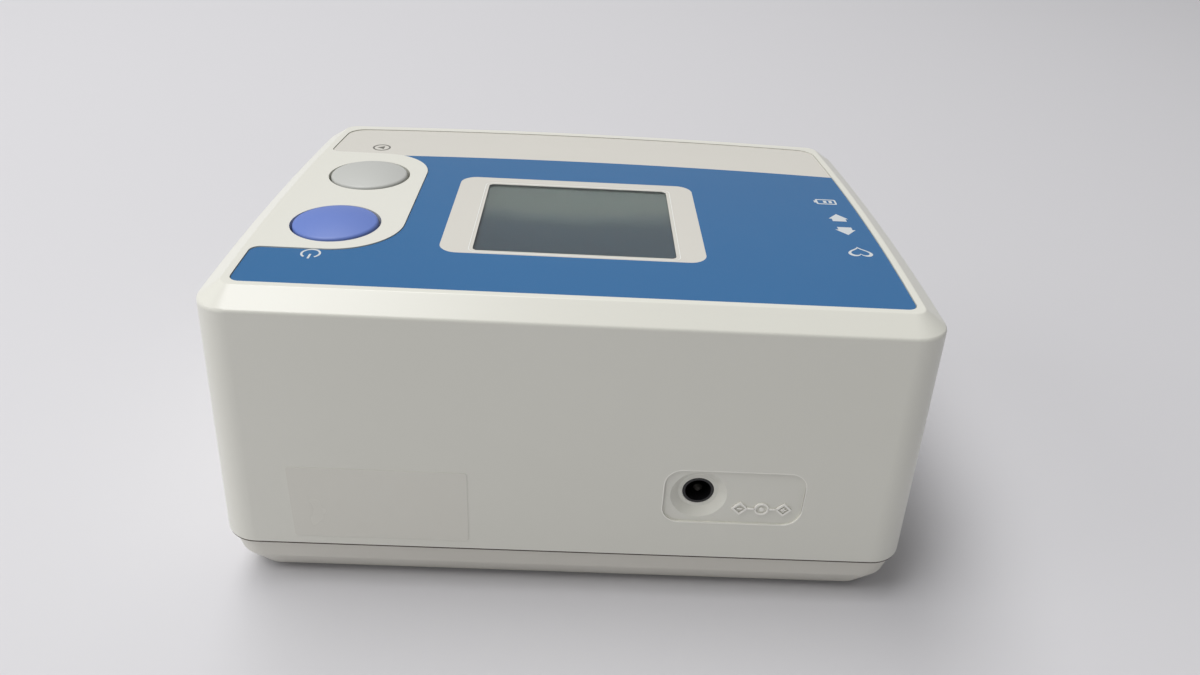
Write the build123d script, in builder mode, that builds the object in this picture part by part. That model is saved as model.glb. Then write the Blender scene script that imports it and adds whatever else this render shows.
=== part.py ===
"""Upper arm blood pressure monitor, millimetres, +Z up.

The origin is at the bottom centre. The user sits at -Y. The rear wall with the DC inlet faces +Y,
the two round buttons are on the user's right (+X) and the hose socket is on the user's left (-X).
"""
import os
from math import atan2, cos, degrees, pi, radians, sin, sqrt, tan

from build123d import *

# Case plan, measured at the seam between the two cases
case_width = 157.2
case_front_width = 150.0
case_depth = 116.6
case_side_bow = 1.5
case_front_bow = 2.8
case_corner_radius = 8.2
top_corner_radius = 7.6
inner_corner_radius = 1.5
plane_tolerance = 0.01

# Case heights and walls
foot_height = 1.2
band_height = 7.4
seam_height = 13.7
rear_wall_top = 73.6
draft = 2.93
top_slope = 3.08
bevel_run = 4.83
bevel_drop = 3.36
wall = 2.5
floor_thickness = 2.4
edge_radius = 0.9
rim_edge_radius = 0.5

# Bottom case, insets from the seam plan
seam_step = 0.6
band_inset = 1.6
base_inset = 5.1
lip_height = 2.0
lip_thickness = 1.2
lip_clearance = 0.15

# Printed front panel, in its own sloping plane
panel_rim = 1.5
panel_length = 94.4
panel_rear_width = 138.4
panel_front_width = 132.0
panel_side_bow = 1.4
panel_front_bow = 3.2
panel_rear_radius = 2.4
panel_front_radius = 5.0
panel_recess = 0.7
panel_thickness = 0.5
panel_clearance = 0.15

# Plain field round the buttons, where the panel is cut away
field_side_x = 39.7
field_rear_y = -17.6
field_front_y = -77.2
field_rear_radius = 14.5
field_front_radius = 13.0
field_corner_radius = 2.2

# Display
display_x = 0.8
display_y = -40.0
view_width = 44.6
view_length = 38.8
view_radius = 1.2
window_border = 5.5
window_thickness = 0.8
window_clearance = 0.1
lcd_width = 52.0
lcd_length = 45.0
lcd_thickness = 2.2
lcd_gap = 0.1
lcd_clearance = 0.5
holder_border = 4.0
holder_lip = 1.0
strip_width = 2.6
strip_length = 46.0

# Buttons
button_hole_radius = 10.06
button_gap = 0.6
button_crown = 1.5
button_dome_radius = 38.0
button_edge_radius = 0.8
button_travel = 0.8
flange_overhang = 1.3
flange_thickness = 1.4
flange_gap = 0.3
stem_radius = 2.6
power_button_x = 54.95
power_button_y = -31.1
start_button_x = 53.7
start_button_y = -61.1

# Tact switches
switch_size = 6.0
switch_height = 3.4
switch_plunger_radius = 1.7
switch_plunger_length = 2.6
switch_plunger_rise = 1.2
running_clearance = 0.06

# Main circuit board, hung below the top wall
board_depth = 13.0
board_thickness = 1.6
board_width = 120.0
board_length = 72.0
board_rear_y = -12.0
board_corner_radius = 2.0
board_screw_inset = 4.0
board_boss_radius = 3.0
board_screw_radius = 1.1
board_screw_length = 7.0
board_screw_head_radius = 2.2
board_screw_head_height = 1.4

# Parts under the board
chip_size = 14.0
chip_thickness = 1.6
chip_x = 4.0
chip_y = -46.0
buzzer_radius = 8.0
buzzer_height = 4.5
buzzer_x = 34.0
buzzer_y = -64.0
sensor_size = 13.0
sensor_height = 6.0
sensor_port_length = 5.0

# DC inlet
jack_x = -28.7
jack_height = 31.6
jack_dish_radius = 6.3
jack_dish_depth = 1.5
jack_seat_radius = 4.5
jack_hole_radius = 3.55
jack_width = 13.0
jack_tall = 11.0
jack_length = 13.0
jack_bore_radius = 2.9
jack_bore_depth = 9.5
jack_pin_radius = 1.0
jack_pin_setback = 0.6
jack_seat_gap = 0.1
jack_rib = 1.6
plate_length = 31.1
plate_height = 14.6
plate_radius = 4.0
plate_depth = 0.45
plate_offset_x = 7.75
plate_offset_z = -0.3

# Battery bay: four AA cells side by side, each lying along X
cell_radius = 7.2
cell_body_length = 49.3
cell_length = 50.5
cell_nub_radius = 2.75
cell_pitch = 14.9
cell_count = 4
contact_thickness = 0.5
contact_height = 11.0
contact_width = 10.0
spring_length = 5.2
spring_turns = 4
spring_base_radius = 4.2
spring_tip_radius = 2.6
spring_wire_radius = 0.4
spring_wire_sides = 6
spring_bends_per_turn = 10
bay_play = 0.3
bay_center_y = -13.0
bay_wall = 1.8

# Battery cover
cover_thickness = 2.0
cover_margin = 2.0
cover_clearance = 0.3
tongue_width = 1.6
tongue_thickness = 0.9
grip_count = 5
grip_width = 16.0
grip_pitch = 2.2
grip_depth = 0.5

# Fasteners and feet
top_boss_radius = 4.2
bottom_boss_radius = 5.0
rear_boss_x = 64.0
rear_boss_y = 43.0
front_boss_x = 61.5
front_boss_y = -42.5
case_screw_radius = 1.5
case_screw_length = 22.0
case_screw_head_radius = 2.9
case_screw_head_height = 2.0
case_screw_well_radius = 3.4
case_screw_seat_height = 6.5
screw_clearance = 0.05
foot_radius = 5.0
foot_recess = 0.8
foot_clearance = 0.2
rear_foot_x = 63.0
rear_foot_y = 30.0
front_foot_x = 60.0
front_foot_y = -29.0

# Air system
air_height = 24.0
socket_y = -18.0
socket_radius = 5.0
socket_flange_radius = 7.0
socket_flange_thickness = 1.6
socket_bore_radius = 2.6
socket_bore_depth = 13.0
socket_air_radius = 1.0
socket_seat_depth = 1.2
socket_boss_radius = 8.0
socket_grip = 3.6
socket_clearance = 0.1
socket_nut_radius = 7.5
socket_nut_thickness = 3.0
seal_thickness = 0.8
nipple_radius = 1.6
nipple_length = 4.5
nipple_gap = 0.4
tube_radius = 2.6
manifold_x = -49.0
manifold_size = 9.0
valve_y = 10.0
valve_width = 16.0
valve_tall = 25.0
valve_plunger_radius = 2.0
valve_plunger_length = 14.0
valve_plunger_rise = 3.0
valve_travel = 1.0
pump_x = 52.5
pump_head_radius = 13.0
pump_head_length = 22.0
pump_head_wall = 2.5
motor_radius = 12.2
motor_length = 31.0
shaft_radius = 1.0
shaft_reach = 7.0
crank_radius = 6.0
crank_thickness = 3.0
crank_pin_radius = 1.0
crank_pin_offset = 3.5
crank_pin_length = 3.0
mount_width = 8.0
mount_border = 2.0

# Derived places
rear_y = case_depth / 2
front_y = -case_depth / 2 + case_front_bow
rear_rise = (rear_wall_top - seam_height) * tan(radians(draft))
slope = radians(top_slope)
bevel_top_y = rear_y - rear_rise - bevel_run * cos(slope) - bevel_drop * sin(slope)
bevel_top_z = rear_wall_top - bevel_run * sin(slope) + bevel_drop * cos(slope)
up_slope = Vector(0, -sin(slope), cos(slope))
top_plane = Plane(origin=(0, bevel_top_y, bevel_top_z), x_dir=(1, 0, 0), z_dir=up_slope)
floor_top = foot_height + floor_thickness
window_bottom = panel_recess + window_thickness
lcd_top = window_bottom + lcd_gap
lcd_bottom = lcd_top + lcd_thickness
board_bottom = board_depth + board_thickness
board_center_y = board_rear_y - board_length / 2


def bowed_plan(rear_width, front_width, rear, front, side_bow, front_bow, rear_radius, front_radius):
    """Plan with a straight rear edge, bowed sides that close towards the front and a bowed front."""
    middle_x = (rear_width + front_width) / 4 + side_bow
    middle_y = (rear + front) / 2
    with BuildSketch() as plan:
        with BuildLine():
            Line((rear_width / 2, rear), (-rear_width / 2, rear))
            ThreePointArc((-rear_width / 2, rear), (-middle_x, middle_y), (-front_width / 2, front))
            ThreePointArc((-front_width / 2, front), (0, front - front_bow), (front_width / 2, front))
            ThreePointArc((front_width / 2, front), (middle_x, middle_y), (rear_width / 2, rear))
        make_face()
        fillet(plan.vertices().group_by(Axis.Y)[-1], rear_radius)
        fillet(plan.vertices().group_by(Axis.Y)[0], front_radius)
    return plan.sketch


def seam_plan(inset):
    """Plan of the case at the seam, moved inwards by an inset."""
    radius = case_corner_radius - inset / 2
    return bowed_plan(case_width - 2 * inset, case_front_width - 2 * inset, rear_y - inset, front_y + inset,
                      case_side_bow, case_front_bow, radius, radius)


def wall_top_plan(inset):
    """Plan in the sloping top's plane where the drafted walls end, moved inwards by an inset."""
    front_rise = rear_rise - (case_depth - case_front_bow) * tan(slope) * tan(radians(draft))
    length = case_depth - case_front_bow - rear_rise - front_rise
    radius = max(top_corner_radius - inset, inner_corner_radius)
    return bowed_plan(case_width - 2 * rear_rise - 2 * inset, case_front_width - 2 * front_rise - 2 * inset,
                      bevel_run - inset, bevel_run - length / cos(slope) + inset,
                      case_side_bow, case_front_bow, radius, radius)


def depth_plane(depth):
    """Plane parallel to the sloping top, a depth below it."""
    return top_plane.offset(-depth)


def housing_block(inset):
    """Drafted walls, bevel and sloping top as one block, its skin moved inwards by an inset."""
    bevel_angle = atan2(bevel_drop, bevel_run)
    sections = [(Plane.XY.offset(seam_height), seam_plan(inset)),
                (depth_plane(bevel_drop + inset * tan((pi / 2 - bevel_angle) / 2)), wall_top_plan(inset)),
                (depth_plane(inset), wall_top_plan(inset + bevel_run + inset * tan(bevel_angle / 2)))]
    with BuildPart() as block:
        for plane, plan in sections:
            with BuildSketch(plane):
                add(plan)
        loft(ruled=True)
    return block.part


def edges_at_depth(part, depth):
    """Edges of a part that lie in one plane parallel to the sloping top."""
    return [edge for edge in part.edges() if abs(top_plane.to_local_coords(edge.center()).Z + depth) < plane_tolerance]


def tub_block(inset, bottom, bottom_inset):
    """Two bands below the seam as one block, moved inwards by an inset."""
    sections = [(bottom, seam_plan(bottom_inset + inset)), (band_height, seam_plan(band_inset + inset)),
                (seam_height, seam_plan(seam_step + inset))]
    with BuildPart() as block:
        for height, plan in sections:
            with BuildSketch(Plane.XY.offset(height)):
                add(plan)
        loft(ruled=True)
    return block.part


def side_wall_x(y, z):
    """Half width of the outside of the side wall at a place in depth and height."""
    share = (rear_y - y) / (rear_y - front_y)
    straight = (case_width + (case_front_width - case_width) * share) / 2
    bow = case_side_bow * (1 - (2 * share - 1) ** 2)
    return straight + bow - (z - seam_height) * tan(radians(draft))


def box_between(low, high, mode=Mode.ADD):
    """Box given by its lowest and highest corners, added to the part being built."""
    with Locations(((low[0] + high[0]) / 2, (low[1] + high[1]) / 2, (low[2] + high[2]) / 2)):
        Box(high[0] - low[0], high[1] - low[1], high[2] - low[2], mode=mode)


pieces = {}

# Places that several pieces share
case_bosses = [(rear_boss_x, rear_boss_y), (-rear_boss_x, rear_boss_y),
               (front_boss_x, front_boss_y), (-front_boss_x, front_boss_y)]
feet_at = [(rear_foot_x, rear_foot_y), (-rear_foot_x, rear_foot_y),
           (front_foot_x, front_foot_y), (-front_foot_x, front_foot_y)]
board_screw_x = board_width / 2 - board_screw_inset
board_screws_at = [(x, y) for x in (-board_screw_x, board_screw_x)
                   for y in (board_rear_y - board_screw_inset, board_rear_y - board_length + board_screw_inset)]
buttons_at = {"power": (power_button_x, power_button_y), "start": (start_button_x, start_button_y)}
jack_wall_y = rear_y - (jack_height - seam_height) * tan(radians(draft))
jack_plane = Plane(origin=(jack_x, jack_wall_y, jack_height), x_dir=(-1, 0, 0),
                   z_dir=(0, cos(radians(draft)), sin(radians(draft))))
jack_front = wall + jack_rib
socket_seat_x = -side_wall_x(socket_y, air_height) + socket_seat_depth
socket_plane = Plane(origin=(socket_seat_x, socket_y, air_height), x_dir=(0, -1, 0), z_dir=(-1, 0, 0))
aperture_width = lcd_width + 2 * lcd_clearance
aperture_length = lcd_length + 2 * lcd_clearance
rebate_width = view_width + 2 * window_border + 2 * window_clearance
rebate_length = view_length + 2 * window_border + 2 * window_clearance


def field_plan(inset):
    """Plain field round the buttons, open to the panel's side, shrunk by an inset."""
    side_x, rear, front = field_side_x + inset, field_rear_y - inset, field_front_y + inset
    with BuildSketch() as plan:
        with BuildLine():
            Polyline((case_width / 2, rear), (side_x, rear), (side_x, front), (case_width / 2, front), close=True)
        make_face()
        fillet(plan.vertices().group_by(Axis.X)[0].sort_by(Axis.Y)[-1], field_rear_radius - inset)
        fillet(plan.vertices().group_by(Axis.X)[0].sort_by(Axis.Y)[0], field_front_radius - inset)
    return plan.sketch


def panel_plan(inset):
    """Plan of the printed panel, with the plain field cut away, moved inwards by an inset."""
    outline = bowed_plan(panel_rear_width - 2 * inset, panel_front_width - 2 * inset,
                         -panel_rim - inset, -panel_rim - panel_length + inset,
                         panel_side_bow, panel_front_bow, panel_rear_radius, panel_front_radius)
    field = field_plan(-inset)
    with BuildSketch() as plan:
        add(outline)
        add(field, mode=Mode.SUBTRACT)
        for field_edge_y in (field_rear_y + inset, field_front_y - inset):
            outer = plan.vertices().filter_by(lambda corner: corner.X > field_side_x + field_rear_radius + field_corner_radius)
            fillet(outer.sort_by(lambda corner: abs(corner.Y - field_edge_y))[0], field_corner_radius)
    return plan.sketch


recess_plan = panel_plan(0)
overlay_plan = panel_plan(panel_clearance)
lip_plan = seam_plan(wall + lip_clearance)
lip_inner_plan = seam_plan(wall + lip_clearance + lip_thickness)

# Top case
outer_block = housing_block(0)
inner_block = housing_block(wall)
with BuildPart() as case_boss_block:
    with BuildSketch(Plane.XY.offset(seam_height)):
        with Locations(*case_bosses):
            Circle(top_boss_radius)
    extrude(amount=rear_wall_top - seam_height)
    add(outer_block, mode=Mode.INTERSECT)
with BuildPart() as top_case:
    add(outer_block)
    fillet(edges_at_depth(top_case, bevel_drop), edge_radius)
    fillet(edges_at_depth(top_case, 0), rim_edge_radius)
    add(inner_block, mode=Mode.SUBTRACT)
    add(case_boss_block.part)
    with BuildSketch(Plane.XY.offset(seam_height)):
        with Locations(*case_bosses):
            Circle(case_screw_radius + screw_clearance)
    extrude(amount=case_screw_length, mode=Mode.SUBTRACT)
    with BuildSketch(depth_plane(wall)):
        with Locations(*board_screws_at):
            Circle(board_boss_radius)
    extrude(amount=-(board_depth - wall))
    with BuildSketch(depth_plane(board_depth)):
        with Locations(*board_screws_at):
            Circle(board_screw_radius + screw_clearance)
    extrude(amount=board_screw_length, mode=Mode.SUBTRACT)
    with BuildSketch(depth_plane(panel_recess)):
        add(recess_plan)
    extrude(amount=panel_recess, mode=Mode.SUBTRACT)
    with BuildSketch(depth_plane(window_bottom)):
        with Locations((display_x, display_y)):
            RectangleRounded(rebate_width, rebate_length, view_radius)
    extrude(amount=window_thickness, mode=Mode.SUBTRACT)
    with BuildSketch(depth_plane(wall)):
        with Locations((display_x, display_y)):
            RectangleRounded(aperture_width, aperture_length, view_radius)
    extrude(amount=wall - window_bottom, mode=Mode.SUBTRACT)
    with BuildSketch(depth_plane(wall)):
        with Locations(*buttons_at.values()):
            Circle(button_hole_radius)
    extrude(amount=wall, mode=Mode.SUBTRACT)
    with BuildSketch(jack_plane.offset(-jack_front)):
        Rectangle(jack_width + 2 * jack_rib, jack_tall + 2 * jack_rib)
    extrude(amount=jack_rib + wall / 2)
    for side in (-1, 1):
        with BuildSketch(jack_plane.offset(-jack_front)):
            with Locations((side * (jack_width / 2 + jack_seat_gap + jack_rib / 2), 0)):
                Rectangle(jack_rib, jack_tall + 2 * jack_rib)
        extrude(amount=-jack_length)
    with BuildSketch(jack_plane.offset(-plate_depth)):
        with Locations((plate_offset_x, plate_offset_z)):
            RectangleRounded(plate_length, plate_height, plate_radius)
    extrude(amount=plate_depth, mode=Mode.SUBTRACT)
    with BuildSketch(jack_plane.offset(-plate_depth - jack_dish_depth)):
        Circle(jack_seat_radius)
    with BuildSketch(jack_plane.offset(-plate_depth)):
        Circle(jack_dish_radius)
    loft(mode=Mode.SUBTRACT)
    with BuildSketch(jack_plane.offset(-jack_front)):
        Circle(jack_hole_radius)
    extrude(amount=jack_front, mode=Mode.SUBTRACT)
    with BuildSketch(socket_plane):
        Circle(socket_boss_radius)
    extrude(amount=-socket_grip)
    with BuildSketch(socket_plane):
        Circle(socket_flange_radius + socket_clearance)
    extrude(amount=socket_flange_thickness + seal_thickness, mode=Mode.SUBTRACT)
    with BuildSketch(socket_plane.offset(-socket_grip)):
        Circle(socket_radius + socket_clearance)
    extrude(amount=socket_grip, mode=Mode.SUBTRACT)
pieces["top_case"] = top_case

# Bottom case with the battery bay and the slide for its cover
bay_half_x = (cell_length + spring_length) / 2 + contact_thickness
bay_half_y = cell_count * cell_pitch / 2 + bay_play
cover_top = foot_height + cover_thickness
cell_z = cover_top + cover_clearance + bay_play + cell_radius
bay_top = cell_z + cell_radius + bay_play
cover_half_x = bay_half_x + cover_margin
cover_rear_y = bay_center_y + bay_half_y + cover_margin
tongue_half_x = cover_half_x + tongue_width
tongue_bottom = cover_top - tongue_thickness
pocket_top = cover_top + cover_clearance
roof_half_x = tongue_half_x + cover_clearance + bay_wall
roof_rear_y = cover_rear_y + cover_clearance + bay_wall
case_front = -case_depth / 2
floor_inset = base_inset - (base_inset - band_inset) * floor_thickness / (band_height - foot_height)
outer_tub = tub_block(0, foot_height, base_inset)
inner_tub = tub_block(wall, floor_top, floor_inset)
with BuildPart() as bay_block:
    box_between((-roof_half_x, case_front, foot_height), (roof_half_x, roof_rear_y, pocket_top + bay_wall))
    box_between((-bay_half_x - bay_wall, bay_center_y - bay_half_y - bay_wall, foot_height),
                (bay_half_x + bay_wall, bay_center_y + bay_half_y + bay_wall, bay_top + bay_wall))
    add(outer_tub, mode=Mode.INTERSECT)
with BuildPart() as bottom_boss_block:
    with BuildSketch(Plane.XY.offset(foot_height)):
        with Locations(*case_bosses):
            Circle(bottom_boss_radius)
    extrude(amount=seam_height - foot_height)
with BuildPart() as bottom_case:
    add(outer_tub)
    add(inner_tub, mode=Mode.SUBTRACT)
    with BuildSketch(Plane.XY.offset(seam_height - lip_height)):
        add(lip_plan)
        add(lip_inner_plan, mode=Mode.SUBTRACT)
    extrude(amount=2 * lip_height)
    add(bay_block.part)
    add(bottom_boss_block.part)
    box_between((-bay_half_x, bay_center_y - bay_half_y, foot_height),
                (bay_half_x, bay_center_y + bay_half_y, bay_top), Mode.SUBTRACT)
    box_between((-cover_half_x - cover_clearance, case_front, foot_height),
                (cover_half_x + cover_clearance, cover_rear_y + cover_clearance, pocket_top), Mode.SUBTRACT)
    box_between((-tongue_half_x - cover_clearance, case_front, tongue_bottom - cover_clearance),
                (tongue_half_x + cover_clearance, cover_rear_y + cover_clearance, pocket_top), Mode.SUBTRACT)
    with BuildSketch(Plane.XY.offset(foot_height)):
        with Locations(*case_bosses):
            Circle(case_screw_well_radius)
    extrude(amount=case_screw_seat_height - foot_height, mode=Mode.SUBTRACT)
    with BuildSketch(Plane.XY.offset(foot_height)):
        with Locations(*case_bosses):
            Circle(case_screw_radius + cover_clearance)
    extrude(amount=seam_height - foot_height, mode=Mode.SUBTRACT)
    with BuildSketch(Plane.XY.offset(foot_height)):
        with Locations(*feet_at):
            Circle(foot_radius + foot_clearance)
    extrude(amount=foot_recess, mode=Mode.SUBTRACT)
pieces["bottom_case"] = bottom_case

# Battery cover, which slides out to the front on its two tongues
tongue_front = front_y + base_inset
with BuildPart() as battery_cover:
    add(outer_tub)
    box_between((-cover_half_x, case_front, foot_height), (cover_half_x, cover_rear_y, cover_top), Mode.INTERSECT)
    for side in (-1, 1):
        box_between((side * cover_half_x - tongue_width, tongue_front, tongue_bottom),
                    (side * cover_half_x + tongue_width, cover_rear_y, cover_top))
    with BuildSketch(Plane.XY.offset(foot_height)):
        with Locations((0, tongue_front + grip_width)):
            with GridLocations(0, grip_pitch, 1, grip_count):
                SlotOverall(grip_width, grip_pitch / 2)
    extrude(amount=grip_depth, mode=Mode.SUBTRACT)
pieces["battery_cover"] = battery_cover

# Battery cells, laid head to tail
cell_rows = [(bay_center_y + (row - (cell_count - 1) / 2) * cell_pitch, 1 if row % 2 else -1)
             for row in range(cell_count)]
with BuildPart() as battery_cells:
    for row_y, head_side in cell_rows:
        tip_x = head_side * (bay_half_x - contact_thickness)
        with BuildSketch(Plane(origin=(tip_x, row_y, cell_z), z_dir=(-head_side, 0, 0))):
            Circle(cell_nub_radius)
        extrude(amount=cell_length)
        with BuildSketch(Plane(origin=(tip_x - head_side * (cell_length - cell_body_length), row_y, cell_z),
                               z_dir=(-head_side, 0, 0))):
            Circle(cell_radius)
        extrude(amount=cell_body_length)
pieces["battery_cells"] = battery_cells

with BuildPart() as battery_contacts:
    for row_y, head_side in cell_rows:
        for side in (-1, 1):
            low_x = min(side * bay_half_x, side * (bay_half_x - contact_thickness))
            box_between((low_x, row_y - contact_width / 2, cell_z - contact_height / 2),
                        (low_x + contact_thickness, row_y + contact_width / 2, cell_z + contact_height / 2))
pieces["battery_contacts"] = battery_contacts

coil_length = spring_length - 2 * spring_wire_radius
coil_narrowing = atan2(spring_base_radius - spring_tip_radius, coil_length)
spring_bends = spring_turns * spring_bends_per_turn
with BuildPart() as battery_spring:
    with BuildLine():
        coil = Helix(pitch=coil_length / spring_turns, height=coil_length, radius=spring_base_radius,
                     direction=(-1, 0, 0), cone_angle=-degrees(coil_narrowing), mode=Mode.PRIVATE)
        wire = Polyline([coil @ (bend / spring_bends) for bend in range(spring_bends + 1)])
    with BuildSketch(Plane(origin=wire @ 0, z_dir=wire % 0)):
        RegularPolygon(spring_wire_radius, spring_wire_sides)
    sweep(transition=Transition.RIGHT)
spring_root_x = bay_half_x - contact_thickness - spring_wire_radius
with BuildPart() as battery_springs:
    for row_y, head_side in cell_rows:
        turn = 0 if head_side < 0 else 180
        with Locations(Location((-head_side * spring_root_x, row_y, cell_z), (0, 0, turn))):
            add(battery_spring.part)
pieces["battery_springs"] = battery_springs

# Printed panel, clear window and display
with BuildPart() as panel_overlay:
    with BuildSketch(depth_plane(panel_recess)):
        add(overlay_plan)
        with Locations((display_x, display_y)):
            RectangleRounded(view_width, view_length, view_radius, mode=Mode.SUBTRACT)
    extrude(amount=panel_thickness)
pieces["panel_overlay"] = panel_overlay

with BuildPart() as display_window:
    with BuildSketch(depth_plane(window_bottom)):
        with Locations((display_x, display_y)):
            RectangleRounded(rebate_width - 2 * window_clearance, rebate_length - 2 * window_clearance,
                             view_radius)
    extrude(amount=window_thickness)
    with BuildSketch(depth_plane(panel_recess)):
        with Locations((display_x, display_y)):
            RectangleRounded(view_width - window_clearance, view_length - window_clearance, view_radius)
    extrude(amount=panel_thickness)
pieces["display_window"] = display_window

with BuildPart() as lcd_glass:
    with BuildSketch(depth_plane(lcd_bottom)):
        with Locations((display_x, display_y)):
            Rectangle(lcd_width, lcd_length)
    extrude(amount=lcd_thickness)
pieces["lcd_glass"] = lcd_glass

holder_top = wall + lcd_gap
opening_length = lcd_length - 2 * holder_lip
with BuildPart() as lcd_holder:
    with BuildSketch(depth_plane(board_depth)):
        with Locations((display_x, display_y)):
            Rectangle(lcd_width + 2 * holder_border, lcd_length + 2 * holder_border)
    extrude(amount=board_depth - holder_top)
    with BuildSketch(depth_plane(lcd_bottom)):
        with Locations((display_x, display_y)):
            Rectangle(lcd_width + 2 * lcd_gap, lcd_length + 2 * lcd_gap)
    extrude(amount=lcd_bottom - holder_top, mode=Mode.SUBTRACT)
    with BuildSketch(depth_plane(board_depth)):
        with Locations((display_x, display_y)):
            Rectangle(lcd_width - 2 * holder_lip, opening_length)
    extrude(amount=board_depth - holder_top, mode=Mode.SUBTRACT)
pieces["lcd_holder"] = lcd_holder

with BuildPart() as contact_strips:
    with BuildSketch(depth_plane(board_depth)):
        with Locations((display_x, display_y)):
            with GridLocations(0, opening_length - strip_width, 1, 2):
                Rectangle(strip_length, strip_width)
    extrude(amount=board_depth - lcd_bottom)
pieces["contact_strips"] = contact_strips

# Main board and what is soldered to it
with BuildPart() as main_board:
    with BuildSketch(depth_plane(board_bottom)):
        with Locations((0, board_center_y)):
            RectangleRounded(board_width, board_length, board_corner_radius)
        with Locations(*board_screws_at):
            Circle(board_screw_radius + cover_clearance, mode=Mode.SUBTRACT)
    extrude(amount=board_thickness)
pieces["main_board"] = main_board

with BuildPart() as control_chip:
    with BuildSketch(depth_plane(board_bottom)):
        with Locations((chip_x, chip_y)):
            Rectangle(chip_size, chip_size)
    extrude(amount=-chip_thickness)
    chamfer(control_chip.edges().group_by(Axis.Z)[0], chip_thickness / 4)
pieces["control_chip"] = control_chip

with BuildPart() as buzzer:
    with BuildSketch(depth_plane(board_bottom)):
        with Locations((buzzer_x, buzzer_y)):
            Circle(buzzer_radius)
    extrude(amount=-buzzer_height)
    with BuildSketch(depth_plane(board_bottom + buzzer_height)):
        with Locations((buzzer_x, buzzer_y)):
            Circle(buzzer_radius / 4)
    extrude(amount=buzzer_height / 2, mode=Mode.SUBTRACT)
pieces["buzzer"] = buzzer

sensor_plane_y = (socket_y - bevel_top_y) / cos(slope)
sensor_bottom = depth_plane(board_bottom + sensor_height).from_local_coords(Vector(manifold_x, sensor_plane_y, 0))
with BuildPart() as pressure_sensor:
    with BuildSketch(depth_plane(board_bottom)):
        with Locations((manifold_x, sensor_plane_y)):
            RectangleRounded(sensor_size, sensor_size, board_corner_radius)
    extrude(amount=-sensor_height)
    with BuildSketch(Plane.XY.offset(sensor_bottom.Z - sensor_port_length)):
        with Locations((manifold_x, socket_y)):
            Circle(nipple_radius)
    extrude(amount=sensor_port_length + sensor_height / 2)
pieces["pressure_sensor"] = pressure_sensor

with BuildPart() as board_screws:
    with BuildSketch(depth_plane(board_bottom)):
        with Locations(*board_screws_at):
            Circle(board_screw_head_radius)
    extrude(amount=-board_screw_head_height)
    with BuildSketch(depth_plane(board_bottom)):
        with Locations(*board_screws_at):
            Circle(board_screw_radius)
    extrude(amount=board_screw_length)
pieces["board_screws"] = board_screws

# Buttons and the tact switches under them
cap_radius = button_hole_radius - button_gap
flange_radius = button_hole_radius + flange_overhang
flange_top = wall + flange_gap
flange_bottom = flange_top + flange_thickness
switch_top = board_depth - switch_height
stem_bottom = switch_top - switch_plunger_rise
plunger_bottom = stem_bottom + switch_plunger_length
dome_center = button_crown - button_dome_radius
round_x = cap_radius - button_edge_radius
round_z = dome_center + sqrt((button_dome_radius - button_edge_radius) ** 2 - round_x ** 2)
round_angle = atan2(round_z - dome_center, round_x)
dome_angle = (round_angle + pi / 2) / 2
for button, (button_x, button_y) in buttons_at.items():
    button_center = top_plane.from_local_coords(Vector(button_x, button_y, 0))
    with BuildPart() as button_cap:
        with BuildSketch(Plane(origin=button_center, x_dir=(1, 0, 0), z_dir=(0, -cos(slope), -sin(slope)))):
            with BuildLine():
                Polyline((0, button_crown), (0, -stem_bottom), (stem_radius, -stem_bottom),
                         (stem_radius, -flange_bottom), (flange_radius, -flange_bottom),
                         (flange_radius, -flange_top), (cap_radius, -flange_top), (cap_radius, round_z))
                rim = ThreePointArc((cap_radius, round_z),
                                    (round_x + button_edge_radius * cos(round_angle / 2),
                                     round_z + button_edge_radius * sin(round_angle / 2)),
                                    (button_dome_radius * cos(round_angle),
                                     dome_center + button_dome_radius * sin(round_angle)))
                ThreePointArc(rim @ 1, (button_dome_radius * cos(dome_angle),
                                        dome_center + button_dome_radius * sin(dome_angle)), (0, button_crown))
            make_face()
        revolve(axis=Axis(button_center, up_slope))
    pieces[button + "_button"] = button_cap
    with BuildPart() as switch_body:
        with BuildSketch(depth_plane(board_depth)):
            with Locations((button_x, button_y)):
                Rectangle(switch_size, switch_size)
        extrude(amount=switch_height)
        with BuildSketch(depth_plane(switch_top)):
            with Locations((button_x, button_y)):
                Circle(switch_plunger_radius + running_clearance)
        hole_depth = plunger_bottom - switch_top + button_travel + running_clearance
        extrude(amount=-hole_depth, mode=Mode.SUBTRACT)
    pieces[button + "_switch"] = switch_body
    with BuildPart() as switch_plunger:
        with BuildSketch(depth_plane(plunger_bottom)):
            with Locations((button_x, button_y)):
                Circle(switch_plunger_radius)
        extrude(amount=switch_plunger_length)
    pieces[button + "_plunger"] = switch_plunger

# DC inlet
with BuildPart() as dc_jack:
    with BuildSketch(jack_plane.offset(-jack_front - jack_length)):
        Rectangle(jack_width, jack_tall)
    extrude(amount=jack_length)
    with BuildSketch(jack_plane.offset(-jack_front)):
        Circle(jack_hole_radius - jack_seat_gap)
    extrude(amount=jack_front - plate_depth - jack_dish_depth)
    with BuildSketch(jack_plane.offset(-plate_depth - jack_dish_depth)):
        Circle(jack_bore_radius)
    extrude(amount=-jack_bore_depth, mode=Mode.SUBTRACT)
pieces["dc_jack"] = dc_jack

with BuildPart() as dc_pin:
    with BuildSketch(jack_plane.offset(-plate_depth - jack_dish_depth - jack_pin_setback)):
        Circle(jack_pin_radius)
    extrude(amount=jack_pin_setback - jack_bore_depth)
    chamfer(dc_pin.edges().group_by(Axis.Y)[-1], jack_pin_radius / 2)
pieces["dc_pin"] = dc_pin

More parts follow.
